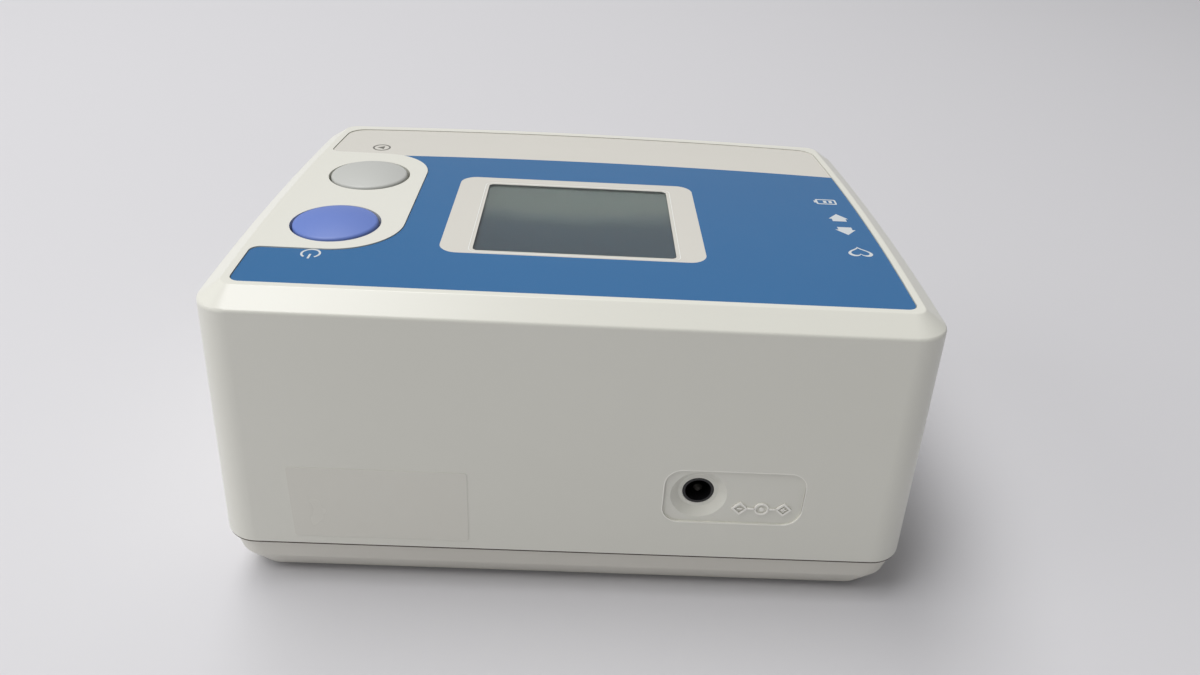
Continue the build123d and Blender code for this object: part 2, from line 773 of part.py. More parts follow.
# Hose socket in the side wall, with its seal and nut
socket_face = seal_thickness + socket_flange_thickness
socket_end_x = manifold_x - manifold_size / 2 - 2 * nipple_length - nipple_gap
socket_length = socket_end_x - socket_seat_x + seal_thickness
with BuildPart() as air_socket:
    with BuildSketch(socket_plane.offset(seal_thickness)):
        Circle(socket_flange_radius)
    extrude(amount=socket_flange_thickness)
    chamfer(air_socket.edges().group_by(Axis.X)[0], socket_flange_thickness / 3)
    with BuildSketch(socket_plane.offset(seal_thickness)):
        Circle(socket_radius)
    extrude(amount=-socket_length)
    with BuildSketch(socket_plane.offset(seal_thickness - socket_length)):
        Circle(nipple_radius)
    extrude(amount=-nipple_length)
    with BuildSketch(socket_plane.offset(socket_face)):
        Circle(socket_bore_radius)
    extrude(amount=-socket_bore_depth, mode=Mode.SUBTRACT)
    with BuildSketch(socket_plane.offset(socket_face)):
        Circle(socket_air_radius)
    extrude(amount=-(socket_length + nipple_length + socket_flange_thickness), mode=Mode.SUBTRACT)
pieces["air_socket"] = air_socket

with BuildPart() as socket_seal:
    with BuildSketch(socket_plane):
        Circle(socket_flange_radius)
        Circle(socket_radius + socket_clearance, mode=Mode.SUBTRACT)
    extrude(amount=seal_thickness)
pieces["socket_seal"] = socket_seal

with BuildPart() as socket_nut:
    with BuildSketch(socket_plane.offset(-socket_grip)):
        RegularPolygon(socket_nut_radius, 6)
        Circle(socket_radius, mode=Mode.SUBTRACT)
    extrude(amount=-socket_nut_thickness)
pieces["socket_nut"] = socket_nut

# Air manifold with nipples to the socket, the pump, the valve and the pressure sensor
manifold_half = manifold_size / 2
nipple_reach = manifold_half + nipple_length
manifold_nipples = [(-1, 0, 0), (1, 0, 0), (0, 1, 0), (0, 0, 1)]
with BuildPart() as air_manifold:
    with Locations((manifold_x, socket_y, air_height)):
        Box(manifold_size, manifold_size, manifold_size)
    for way in manifold_nipples:
        with BuildSketch(Plane(origin=(manifold_x, socket_y, air_height), z_dir=way)):
            Circle(nipple_radius)
        extrude(amount=nipple_reach)
    for way in manifold_nipples:
        with BuildSketch(Plane(origin=(manifold_x, socket_y, air_height), z_dir=way)):
            Circle(nipple_radius / 2)
        extrude(amount=nipple_reach, mode=Mode.SUBTRACT)
    with Locations((manifold_x, socket_y, (floor_top + air_height - manifold_half) / 2)):
        Box(manifold_size / 2, manifold_size, air_height - manifold_half - floor_top)
pieces["air_manifold"] = air_manifold

# Air pump: head on the hose side, motor behind it, both along Y
pump_z = floor_top + mount_border + pump_head_radius
head_front_y = socket_y - pump_head_length / 2
head_rear_y = socket_y + pump_head_length / 2
with BuildPart() as pump_head:
    with BuildSketch(Plane(origin=(pump_x, head_front_y, pump_z), x_dir=(1, 0, 0), z_dir=(0, 1, 0))):
        Circle(pump_head_radius)
    extrude(amount=pump_head_length)
    with BuildSketch(Plane(origin=(pump_x, socket_y, air_height), z_dir=(-1, 0, 0))):
        Circle(nipple_radius)
    extrude(amount=pump_head_radius + nipple_length)
    with BuildSketch(Plane(origin=(pump_x, head_rear_y, pump_z), x_dir=(1, 0, 0), z_dir=(0, -1, 0))):
        Circle(pump_head_radius - pump_head_wall)
    extrude(amount=shaft_reach + crank_pin_length, mode=Mode.SUBTRACT)
pieces["pump_head"] = pump_head

with BuildPart() as pump_motor:
    with BuildSketch(Plane(origin=(pump_x, head_rear_y, pump_z), x_dir=(1, 0, 0), z_dir=(0, 1, 0))):
        Circle(motor_radius)
        Circle(shaft_radius + running_clearance, mode=Mode.SUBTRACT)
    extrude(amount=motor_length)
    chamfer(pump_motor.edges().group_by(Axis.Y)[-1].sort_by(SortBy.LENGTH)[-1], shaft_radius)
pieces["pump_motor"] = pump_motor

with BuildPart() as motor_shaft:
    with BuildSketch(Plane(origin=(pump_x, head_rear_y - shaft_reach, pump_z), x_dir=(1, 0, 0), z_dir=(0, 1, 0))):
        Circle(shaft_radius)
    extrude(amount=shaft_reach + motor_length)
pieces["motor_shaft"] = motor_shaft

with BuildPart() as drive_crank:
    with BuildSketch(Plane(origin=(pump_x, head_rear_y - shaft_reach, pump_z), x_dir=(1, 0, 0), z_dir=(0, 1, 0))):
        Circle(crank_radius)
        Circle(shaft_radius, mode=Mode.SUBTRACT)
    extrude(amount=crank_thickness)
    with BuildSketch(Plane(origin=(pump_x, head_rear_y - shaft_reach, pump_z), x_dir=(1, 0, 0), z_dir=(0, 1, 0))):
        with Locations((crank_pin_offset, 0)):
            Circle(crank_pin_radius)
    extrude(amount=-crank_pin_length + running_clearance)
pieces["drive_crank"] = drive_crank

with BuildPart() as pump_mounts:
    for middle_y, radius in ((socket_y, pump_head_radius), (head_rear_y + motor_length / 2, motor_radius)):
        box_between((pump_x - radius, middle_y - mount_width / 2, floor_top),
                    (pump_x + radius, middle_y + mount_width / 2, pump_z - radius / 2))
        with BuildSketch(Plane(origin=(pump_x, middle_y - mount_width / 2, pump_z), x_dir=(1, 0, 0),
                               z_dir=(0, 1, 0))):
            Circle(radius)
        extrude(amount=mount_width, mode=Mode.SUBTRACT)
pieces["pump_mounts"] = pump_mounts

# Release valve, upright on the floor
valve_top = floor_top + valve_tall
valve_front_y = valve_y - valve_width / 2
with BuildPart() as release_valve:
    box_between((manifold_x - valve_width / 2, valve_front_y, floor_top),
                (manifold_x + valve_width / 2, valve_y + valve_width / 2, valve_top))
    with BuildSketch(Plane(origin=(manifold_x, valve_y, air_height), z_dir=(0, -1, 0))):
        Circle(nipple_radius)
    extrude(amount=valve_width / 2 + nipple_length)
    with BuildSketch(Plane.XY.offset(valve_top)):
        with Locations((manifold_x, valve_y)):
            Circle(valve_plunger_radius + running_clearance)
    extrude(amount=-(valve_plunger_length - valve_plunger_rise + valve_travel + running_clearance),
            mode=Mode.SUBTRACT)
pieces["release_valve"] = release_valve

with BuildPart() as valve_plunger:
    with BuildSketch(Plane.XY.offset(valve_top + valve_plunger_rise - valve_plunger_length)):
        with Locations((manifold_x, valve_y)):
            Circle(valve_plunger_radius)
    extrude(amount=valve_plunger_length)
pieces["valve_plunger"] = valve_plunger

# Silicone tubes, pushed over the nipples
tube_runs = [((socket_end_x, socket_y, air_height), (1, 0, 0), manifold_x - manifold_half - socket_end_x),
             ((manifold_x + manifold_half, socket_y, air_height), (1, 0, 0),
              pump_x - pump_head_radius - manifold_x - manifold_half),
             ((manifold_x, socket_y + manifold_half, air_height), (0, 1, 0),
              valve_front_y - socket_y - manifold_half),
             ((manifold_x, socket_y, air_height + manifold_half), (0, 0, 1),
              sensor_bottom.Z - 2 * tube_radius * tan(slope) - air_height - manifold_half)]
with BuildPart() as air_tubes:
    for start, way, length in tube_runs:
        with BuildSketch(Plane(origin=start, z_dir=way)):
            Circle(tube_radius)
            Circle(nipple_radius, mode=Mode.SUBTRACT)
        extrude(amount=length)
pieces["air_tubes"] = air_tubes

# Case screws from below, and rubber feet
with BuildPart() as case_screws:
    with BuildSketch(Plane.XY.offset(case_screw_seat_height)):
        with Locations(*case_bosses):
            Circle(case_screw_head_radius)
    extrude(amount=-case_screw_head_height)
    with BuildSketch(Plane.XY.offset(case_screw_seat_height)):
        with Locations(*case_bosses):
            Circle(case_screw_radius)
    extrude(amount=case_screw_length)
pieces["case_screws"] = case_screws

with BuildPart() as rubber_feet:
    with BuildSketch():
        with Locations(*feet_at):
            Circle(foot_radius)
    extrude(amount=foot_height + foot_recess)
    chamfer(rubber_feet.edges().group_by(Axis.Z)[0], foot_recess / 2)
pieces["rubber_feet"] = rubber_feet

os.makedirs("parts", exist_ok=True)
for label, piece in pieces.items():
    piece.part.label = label
    export_step(piece.part, f"parts/{label}.step")
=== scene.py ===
# %% [markdown]
# # Upper arm blood pressure monitor
#
# This lesson dresses a small home health device. Its shapes come from CAD: two moulded case halves,
# a printed front panel, two round buttons, a display, and the air and battery parts inside. Blender
# adds what CAD leaves out: light, finishes, printed symbols and small surface detail.
#
# Loading the frame first gives the later cells the object's real size and the nodes that they dress.

# %% Load the frame
import math
import bmesh
import bpy
from mathutils import Matrix, Vector


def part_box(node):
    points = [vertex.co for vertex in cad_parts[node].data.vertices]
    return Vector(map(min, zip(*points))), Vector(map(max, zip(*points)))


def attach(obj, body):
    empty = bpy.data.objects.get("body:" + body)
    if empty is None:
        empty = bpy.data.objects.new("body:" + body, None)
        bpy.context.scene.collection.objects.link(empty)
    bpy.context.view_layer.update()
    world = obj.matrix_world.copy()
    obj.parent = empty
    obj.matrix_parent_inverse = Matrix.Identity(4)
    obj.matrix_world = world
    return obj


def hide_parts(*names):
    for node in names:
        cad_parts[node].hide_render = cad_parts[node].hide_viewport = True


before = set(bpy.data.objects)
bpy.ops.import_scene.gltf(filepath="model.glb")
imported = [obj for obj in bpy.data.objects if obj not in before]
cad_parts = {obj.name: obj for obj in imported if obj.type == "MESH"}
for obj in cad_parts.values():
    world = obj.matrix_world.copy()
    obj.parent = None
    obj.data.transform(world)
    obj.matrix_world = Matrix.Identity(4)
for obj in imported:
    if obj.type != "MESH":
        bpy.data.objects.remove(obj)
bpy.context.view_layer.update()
MM = 0.001

# %% [markdown]
# ## The camera
#
# The view is from behind and above, so that the rear wall and the sloping top both show. A camera
# can be placed by its own position and three turns. Here the turns are kept apart as yaw, pitch and
# roll, because each can then be checked against a straight edge of the object on its own.

# %% Place the camera
CAMERA_PLACE = Vector((0.197, 204.324, 171.527)) * MM
CAMERA_YAW = math.radians(1.962)
CAMERA_PITCH = math.radians(33.946)
CAMERA_ROLL = math.radians(3.4986)
CAMERA_LENS = 27.380
SENSOR_WIDTH = 36.0
NEAREST_SEEN = 0.01


def new_object(name, data):
    """A new object, linked to the scene."""
    made = bpy.data.objects.new(name, data)
    bpy.context.scene.collection.objects.link(made)
    return made


def aimed(place, direction):
    """A matrix that stands at a place and looks along a direction with its -Z axis."""
    return Matrix.Translation(place) @ direction.to_track_quat("-Z", "Y").to_matrix().to_4x4()


look = Vector((-math.sin(CAMERA_YAW) * math.cos(CAMERA_PITCH),
               -math.cos(CAMERA_YAW) * math.cos(CAMERA_PITCH), -math.sin(CAMERA_PITCH)))
camera_data = bpy.data.cameras.new("camera")
camera_data.lens = CAMERA_LENS
camera_data.sensor_width = SENSOR_WIDTH
camera_data.clip_start = NEAREST_SEEN
camera = new_object("camera", camera_data)
camera.matrix_world = aimed(CAMERA_PLACE, look) @ Matrix.Rotation(CAMERA_ROLL, 4, "Z")
bpy.context.scene.camera = camera
bpy.context.scene.view_settings.view_transform = "Standard"
print("camera looks along", [round(c, 3) for c in look])

# %% [markdown]
# ## The stage
#
# A pale sheet carries the object and runs up behind it. One swept profile makes floor and backdrop
# in a single surface, so that no line shows where they meet. The sheet isn't part of the object.

# %% Floor and backdrop
FLOOR_HALF = 2.6
SWEEP_RADIUS = 0.7
BACKDROP_HEIGHT = 1.5
SWEEP_STEPS = 16


def sweep_profile():
    """Points of the sheet's section from the near edge of the floor to the top of the backdrop."""
    points = [(FLOOR_HALF, 0.0)]
    for step in range(SWEEP_STEPS + 1):
        angle = math.pi / 2 * step / SWEEP_STEPS
        points.append((-FLOOR_HALF + SWEEP_RADIUS * (1 - math.sin(angle)),
                       SWEEP_RADIUS * (1 - math.cos(angle))))
    points.append((-FLOOR_HALF, BACKDROP_HEIGHT))
    return points


def mesh_object(name, vertices, faces, smooth=False):
    """A new mesh object at the origin."""
    mesh = bpy.data.meshes.new(name)
    mesh.from_pydata([tuple(v) for v in vertices], [], faces)
    mesh.validate()
    for polygon in mesh.polygons:
        polygon.use_smooth = smooth
    return new_object(name, mesh)


profile = sweep_profile()
sheet_vertices = [(side * FLOOR_HALF, y, z) for y, z in profile for side in (-1, 1)]
sheet_faces = [(2 * i, 2 * i + 1, 2 * i + 3, 2 * i + 2) for i in range(len(profile) - 1)]
floor = mesh_object("floor", sheet_vertices, sheet_faces, smooth=True)
print("floor and backdrop:", len(sheet_faces), "faces")

# %% [markdown]
# ## Light
#
# The object is white, so its shapes read only by small steps in brightness. A wide lamp overhead
# lights the top more than the walls. A weaker one stands on the user's right, a small one lifts the
# rear wall, and the pale world fills the shadows. One large lamp would be simpler, but then top and
# wall could not be balanced apart.

# %% Lamps and world
LAMP_TARGET = Vector((0.0, 0.0, 0.04))
LAMPS = {"ceiling_lamp": {"place": (0.55, -0.16, 1.7), "width": 2.2, "length": 0.7, "power": 30.0},
         "side_lamp": {"place": (1.5, 0.2, 0.8), "width": 0.9, "length": 0.9, "power": 4.5},
         "wall_lamp": {"place": (0.5, 0.5, 0.38), "width": 0.4, "length": 0.4, "power": 0.3}}
WORLD_STRENGTH = 0.22


def area_lamp(name, place, width, length, power):
    """A rectangular soft lamp, turned towards the object."""
    data = bpy.data.lights.new(name, "AREA")
    data.shape = "RECTANGLE"
    data.size, data.size_y = width, length
    data.energy = power
    lamp = new_object(name, data)
    lamp.matrix_world = aimed(Vector(place), LAMP_TARGET - Vector(place))
    return lamp


lamps = [area_lamp(name, **settings) for name, settings in LAMPS.items()]
world = bpy.data.worlds.new("studio")
bpy.context.scene.world = world
world.use_nodes = True
background = world.node_tree.nodes["Background"]
background.inputs["Color"].default_value = (1.0, 1.0, 1.0, 1.0)
background.inputs["Strength"].default_value = WORLD_STRENGTH
print("lamps:", [lamp.name for lamp in lamps])

# %% [markdown]
# ## Helpers for materials
#
# Every finish here is procedural. A few helpers keep the cells short: one turns a display colour
# into the linear values that shaders want, and others start a material or a node group with named
# sockets. Node trees can be written out link by link. `plug` is shorter: it takes a socket to link
# from, or a plain value to set.

# %% Material helpers
COLOUR, NUMBER, VECTOR = "NodeSocketColor", "NodeSocketFloat", "NodeSocketVector"
STRAIGHT_PART = 0.04045


def linear(red, green, blue):
    """Linear colour with full alpha, from display values of 0 to 255."""
    shares = [value / 255 for value in (red, green, blue)]
    return (*(((s + 0.055) / 1.055) ** 2.4 if s > STRAIGHT_PART else s / 12.92 for s in shares), 1.0)


def add_node(tree, kind, **settings):
    """A new node with its properties set."""
    node = tree.nodes.new(kind)
    for key, value in settings.items():
        setattr(node, key, value)
    return node


def plug(tree, socket, source):
    """Give an input socket a link from another socket, or a plain value."""
    if isinstance(source, bpy.types.NodeSocket):
        tree.links.new(source, socket)
    else:
        socket.default_value = source


def plug_named(tree, node, sources):
    """Plug inputs of a node by their names."""
    for label, source in sources.items():
        plug(tree, node.inputs[label], source)


def plug_in_order(tree, node, sources):
    """Plug a node's first inputs in their order."""
    for socket, source in zip(node.inputs, sources):
        plug(tree, socket, source)


def start_material(name):
    """A new material, its node tree and its shader."""
    material = bpy.data.materials.new(name)
    material.use_nodes = True
    return material, material.node_tree, material.node_tree.nodes["Principled BSDF"]


def start_group(name, inputs, outputs):
    """An empty shader node group. Inputs map a name to a socket type and a default value."""
    tree = bpy.data.node_groups.new(name, "ShaderNodeTree")
    for label, (kind, value) in inputs.items():
        socket = tree.interface.new_socket(label, in_out="INPUT", socket_type=kind)
        socket.default_value = value
    for label, kind in outputs.items():
        tree.interface.new_socket(label, in_out="OUTPUT", socket_type=kind)
    return tree, tree.nodes.new("NodeGroupInput"), tree.nodes.new("NodeGroupOutput")


print("display 128 is linear", round(linear(128, 128, 128)[0], 3))

# %% [markdown]
# The same few nodes come back in every finish: the place on the piece, noise, sums, a change of
# range and a mix of colours. Each gets a short function that returns its output socket. Object
# coordinates are used throughout, so a pattern stays on its piece when the piece moves.

# %% Helpers for single nodes
WHOLE = (0.0, 1.0)
NOISE_DETAIL = 2.0


def object_place(tree):
    """The shaded point in object coordinates."""
    return add_node(tree, "ShaderNodeTexCoord").outputs["Object"]


def noise(tree, place, scale, detail=NOISE_DETAIL):
    """Soft noise over places, as one number."""
    node = add_node(tree, "ShaderNodeTexNoise")
    plug_named(tree, node, {"Vector": place, "Scale": scale, "Detail": detail})
    return node.outputs["Fac"]


def number_math(tree, operation, *sources, **settings):
    """The number that a math node makes of numbers."""
    node = add_node(tree, "ShaderNodeMath", operation=operation, **settings)
    plug_in_order(tree, node, sources)
    return node.outputs["Value"]


def vector_math(tree, operation, *sources, output="Vector"):
    """What a vector math node makes of vectors."""
    node = add_node(tree, "ShaderNodeVectorMath", operation=operation)
    plug_in_order(tree, node, sources)
    return node.outputs[output]


def map_range(tree, value, from_ends, to_ends, **settings):
    """A number carried from one range to another."""
    node = add_node(tree, "ShaderNodeMapRange", **settings)
    plug_named(tree, node, {"Value": value, "From Min": from_ends[0], "From Max": from_ends[1],
                            "To Min": to_ends[0], "To Max": to_ends[1]})
    return node.outputs["Result"]


def mix_colours(tree, factor, first, second):
    """A colour between two colours."""
    node = add_node(tree, "ShaderNodeMix", data_type="RGBA")
    plug_named(tree, node, {"Factor": factor, "A": first, "B": second})
    return node.outputs["Result"]


def add_bump(tree, shader, height, strength, distance):
    """Let a height stand proud of the surface by up to a distance."""
    bump = add_node(tree, "ShaderNodeBump")
    plug_named(tree, bump, {"Height": height, "Strength": strength, "Distance": distance})
    plug(tree, shader.inputs["Normal"], bump.outputs["Normal"])


print("noise has a detail of", NOISE_DETAIL, "unless a finish asks for more or less")

# %% [markdown]
# ## Moulded surface
#
# Injection-moulded plastic is never one flat colour. It has a slow drift in tone from the melt, a
# very fine grain from the tool, and gloss that varies a little where hands have been. One node
# group makes all three, and each plastic on the object uses it with its own values.

# %% Group: moulded surface
DRIFT_SCALE, DRIFT_DETAIL = 22.0, 3.0
GRAIN_SCALE, GRAIN_DETAIL = 2600.0, 1.0
DRIFT_ENDS = (0.1, 0.9)


def build_moulded_group():
    """Colour, roughness and height of a moulded plastic skin."""
    tree, source, result = start_group(
        "moulded_surface",
        {"Color": (COLOUR, (0.8, 0.8, 0.8, 1.0)), "Shade": (COLOUR, (0.7, 0.7, 0.7, 1.0)),
         "Gloss Low": (NUMBER, 0.3), "Gloss High": (NUMBER, 0.4),
         "Drift Scale": (NUMBER, DRIFT_SCALE), "Grain Scale": (NUMBER, GRAIN_SCALE)},
        {"Color": COLOUR, "Roughness": NUMBER, "Height": NUMBER})
    given = source.outputs
    place = object_place(tree)
    drift = noise(tree, place, given["Drift Scale"], DRIFT_DETAIL)
    grain = noise(tree, place, given["Grain Scale"], GRAIN_DETAIL)
    gloss = map_range(tree, drift, DRIFT_ENDS, (given["Gloss Low"], given["Gloss High"]))
    plug_named(tree, result, {"Color": mix_colours(tree, drift, given["Color"], given["Shade"]),
                              "Roughness": gloss, "Height": grain})
    return tree


moulded_group = build_moulded_group()
print("group", moulded_group.name, "has", len(moulded_group.nodes), "nodes")

# %% [markdown]
# ## Specks
#
# A used device has tiny dark specks of dirt on its case. A Voronoi texture gives one random point
# to each cell. Keeping only the cells whose own random value is low leaves a few specks, far apart.

# %% Group: specks


def build_speck_group():
    """The colour below with sparse small specks over it."""
    tree, source, result = start_group(
        "specks", {"Color": (COLOUR, (0.8, 0.8, 0.8, 1.0)), "Speck Color": (COLOUR, (0.2, 0.17, 0.13, 1.0)),
                   "Scale": (NUMBER, 90.0), "Size": (NUMBER, 0.03), "Share": (NUMBER, 0.06)},
        {"Color": COLOUR})
    given = source.outputs
    cells, parts = add_node(tree, "ShaderNodeTexVoronoi"), add_node(tree, "ShaderNodeSeparateColor")
    plug_named(tree, cells, {"Vector": object_place(tree), "Scale": given["Scale"]})
    plug(tree, parts.inputs["Color"], cells.outputs["Color"])
    near = number_math(tree, "LESS_THAN", cells.outputs["Distance"], given["Size"])
    chosen = number_math(tree, "LESS_THAN", parts.outputs["Red"], given["Share"])
    speck = number_math(tree, "MULTIPLY", near, chosen)
    plug(tree, result.inputs["Color"], mix_colours(tree, speck, given["Color"], given["Speck Color"]))
    return tree


speck_group = build_speck_group()
print("group", speck_group.name, "has", len(speck_group.nodes), "nodes")

# %% [markdown]
# ## Plastics
#
# One function makes each plastic from its colour, a slightly different shade of it and a range of
# roughness. The values that are the same all over, such as IOR, sit on the shader's own sockets.

# %% Plastic materials
PLASTIC_IOR = 1.5
GRAIN_DEPTH = 0.2 * MM


def plastic(name, colour, shade, gloss, grain, specks=0.0, drift_scale=DRIFT_SCALE, grain_scale=GRAIN_SCALE):
    """A moulded plastic. Colours are display values, gloss is the lowest and highest roughness."""
    material, tree, shader = start_material(name)
    shader.inputs["IOR"].default_value = PLASTIC_IOR
    skin = add_node(tree, "ShaderNodeGroup", node_tree=moulded_group)
    plug_named(tree, skin, {"Color": linear(*colour), "Shade": linear(*shade),
                            "Gloss Low": gloss[0], "Gloss High": gloss[1],
                            "Drift Scale": drift_scale, "Grain Scale": grain_scale})
    add_bump(tree, shader, skin.outputs["Height"], grain, GRAIN_DEPTH)
    colour_from = skin.outputs["Color"]
    if specks:
        dirt = add_node(tree, "ShaderNodeGroup", node_tree=speck_group)
        plug_named(tree, dirt, {"Share": specks, "Color": colour_from})
        colour_from = dirt.outputs["Color"]
    plug_named(tree, shader, {"Roughness": skin.outputs["Roughness"], "Base Color": colour_from})
    return material


case_white = plastic("case_white", (230, 229, 220), (226, 225, 215), (0.26, 0.32), 0.05, specks=0.05)
base_grey = plastic("base_grey", (226, 223, 214), (219, 216, 206), (0.34, 0.46), 0.08, specks=0.08)
black_plastic = plastic("black_plastic", (26, 25, 28), (20, 19, 22), (0.28, 0.4), 0.08)
white_plastic = plastic("white_plastic", (216, 216, 212), (206, 205, 200), (0.4, 0.5), 0.08)
grey_cap = plastic("grey_cap", (194, 195, 191), (188, 189, 184), (0.42, 0.52), 0.1)
blue_cap = plastic("blue_cap", (108, 132, 203), (102, 126, 197), (0.4, 0.5), 0.1)
plunger_plastic = plastic("plunger_plastic", (60, 58, 56), (48, 46, 45), (0.4, 0.5), 0.05)
silicone = plastic("silicone", (205, 203, 196), (192, 190, 182), (0.45, 0.6), 0.15)
rubber = plastic("rubber", (74, 73, 72), (60, 59, 58), (0.6, 0.75), 0.25, grain_scale=1500.0)
print("plastics made:", sum(1 for m in bpy.data.materials if m.node_tree))

# %% [markdown]
# ## Metals, board and cells
#
# The parts inside need finishes too, because they show when a cover is off. Drawn metal has fine
# marks along one direction, which a noise texture stretched along an axis gives cheaply.

# %% Metal and board materials
MARKS_SCALE = 120.0
MARKS_ACROSS_X, MARKS_ACROSS_Y, MARKS_ACROSS_Z = (30.0, 1.0, 1.0), (1.0, 30.0, 1.0), (1.0, 1.0, 40.0)


def metal(name, colour, shade, gloss, stretch):
    """A metal with fine marks drawn out across the stretched axis."""
    material, tree, shader = start_material(name)
    shader.inputs["Metallic"].default_value = 1.0
    turn = add_node(tree, "ShaderNodeMapping")
    plug_named(tree, turn, {"Vector": object_place(tree), "Scale": stretch})
    marks = noise(tree, turn.outputs["Vector"], MARKS_SCALE)
    plug_named(tree, shader, {"Base Color": mix_colours(tree, marks, linear(*colour), linear(*shade)),
                              "Roughness": map_range(tree, marks, WHOLE, gloss)})
    return material


steel = metal("steel", (176, 176, 174), (150, 150, 148), (0.25, 0.4), MARKS_ACROSS_Z)
motor_steel = metal("motor_steel", (160, 161, 163), (138, 139, 142), (0.3, 0.45), MARKS_ACROSS_Y)
nickel = metal("nickel", (198, 194, 184), (176, 172, 162), (0.18, 0.32), MARKS_ACROSS_X)
# The inlet's pin takes a dark nickel: painted shade of the deep socket round it.
nickel_painted_shade = metal("nickel_painted_shade", (52, 50, 48), (42, 41, 39), (0.45, 0.6), MARKS_ACROSS_X)
board_green = plastic("board_green", (38, 92, 60), (30, 76, 50), (0.35, 0.45), 0.1, drift_scale=180.0)
cell_sleeve = plastic("cell_sleeve", (58, 66, 80), (48, 54, 66), (0.25, 0.35), 0.03)
print("materials so far:", len(bpy.data.materials))

# %% [markdown]
# ## The sloping top as a drawing board
#
# The printed panel lies in a plane that rises towards the rear. Its centre line starts where the
# bevel above the rear wall ends. A matrix for that plane lets symbols and prints be drawn flat, in
# millimetres, and laid on the top at any height. The rear wall leans, so it gets a board too.

# %% Planes to draw on
TOP_SLOPE = math.radians(3.08)
TOP_ORIGIN = (0.0, 50.2305, 76.6956)
WALL_DRAFT = math.radians(2.93)
JACK_ORIGIN = (-28.7, 57.384, 31.6)

to_metres = Matrix.Scale(MM, 4)
top_board = to_metres @ Matrix.Translation(TOP_ORIGIN) @ Matrix.Rotation(TOP_SLOPE, 4, "X")
wall_board = (to_metres @ Matrix.Translation(JACK_ORIGIN) @ Matrix.Rotation(math.pi, 4, "Z")
              @ Matrix.Rotation(math.pi / 2 - WALL_DRAFT, 4, "X"))
for surface, board in (("top", top_board), ("wall", wall_board)):
    print(surface, "plane normal", [round(c, 4) for c in board.to_3x3().col[2].normalized()])

# %% [markdown]
# ## Printed panel
#
# The panel is one glossy film, printed from behind: blue over most of it, cream along the front
# edge and round the display. Cutting the film into coloured pieces would put false edges on a
# surface that is really one sheet. So the colours are masks in the film's material, worked out in
# the panel's own millimetres. A rounded rectangle is the set of points whose distance to a smaller
# rectangle is less than the corner radius.

# %% Group: rounded rectangle


def panel_place(tree):
    """The shaded point in the panel's own millimetres."""
    flat = add_node(tree, "ShaderNodeMapping", vector_type="TEXTURE")
    plug_named(tree, flat, {"Vector": object_place(tree), "Location": Vector(TOP_ORIGIN) * MM,
                            "Rotation": (TOP_SLOPE, 0.0, 0.0), "Scale": (MM, MM, MM)})
    return flat.outputs["Vector"]


def build_rounded_box_group():
    """1 inside a rounded rectangle on the sloping top, 0 outside. Sizes are in millimetres."""
    tree, source, result = start_group(
        "rounded_box", {"Centre": (VECTOR, (0.0, 0.0, 0.0)), "Half Size": (VECTOR, (10.0, 10.0, 0.0)),
                        "Radius": (NUMBER, 2.0)},
        {"Inside": NUMBER})
    given = source.outputs
    offset = vector_math(tree, "SUBTRACT", panel_place(tree), given["Centre"])
    beyond = vector_math(tree, "SUBTRACT", vector_math(tree, "ABSOLUTE", offset), given["Half Size"])
    inner = vector_math(tree, "ADD", beyond, given["Radius"])
    outside = vector_math(tree, "MAXIMUM", inner, (0.0, 0.0, 0.0))
    level = vector_math(tree, "MULTIPLY", outside, (1.0, 1.0, 0.0))
    distance = vector_math(tree, "LENGTH", level, output="Value")
    plug(tree, result.inputs["Inside"], number_math(tree, "LESS_THAN", distance, given["Radius"]))
    return tree


rounded_box_group = build_rounded_box_group()
print("group", rounded_box_group.name, "has", len(rounded_box_group.nodes), "nodes")

# %% [markdown]
# The blue ends at a line that bows like the panel's front edge. A circle that large is simplest as
# one more rounded rectangle whose corner radius is its half width, but a parabola needs fewer
# nodes: blue where y is above a level plus a share of x squared.

# %% Panel film material
BLUE_INK = ((56, 111, 161), (52, 106, 156))
CREAM_INK = ((220, 217, 209), (216, 213, 204))
LINE_LEVEL = -78.3
LINE_BOW = 3.0 / 66.0 ** 2
FRAME_CENTRE = (1.1, -41.3)
FRAME_HALF = (29.3, 22.3)
FRAME_RADIUS = 4.0
FILM_GLOSS = (0.16, 0.24)
FILM_GRAIN = 0.03
FILM_GRAIN_DEPTH = 0.1 * MM


def ink(tree, colour, shade):
    """One printed colour with a slight drift, as a colour output."""
    skin = add_node(tree, "ShaderNodeGroup", node_tree=moulded_group)
    plug_named(tree, skin, {"Color": linear(*colour), "Shade": linear(*shade)})
    return skin.outputs["Color"]


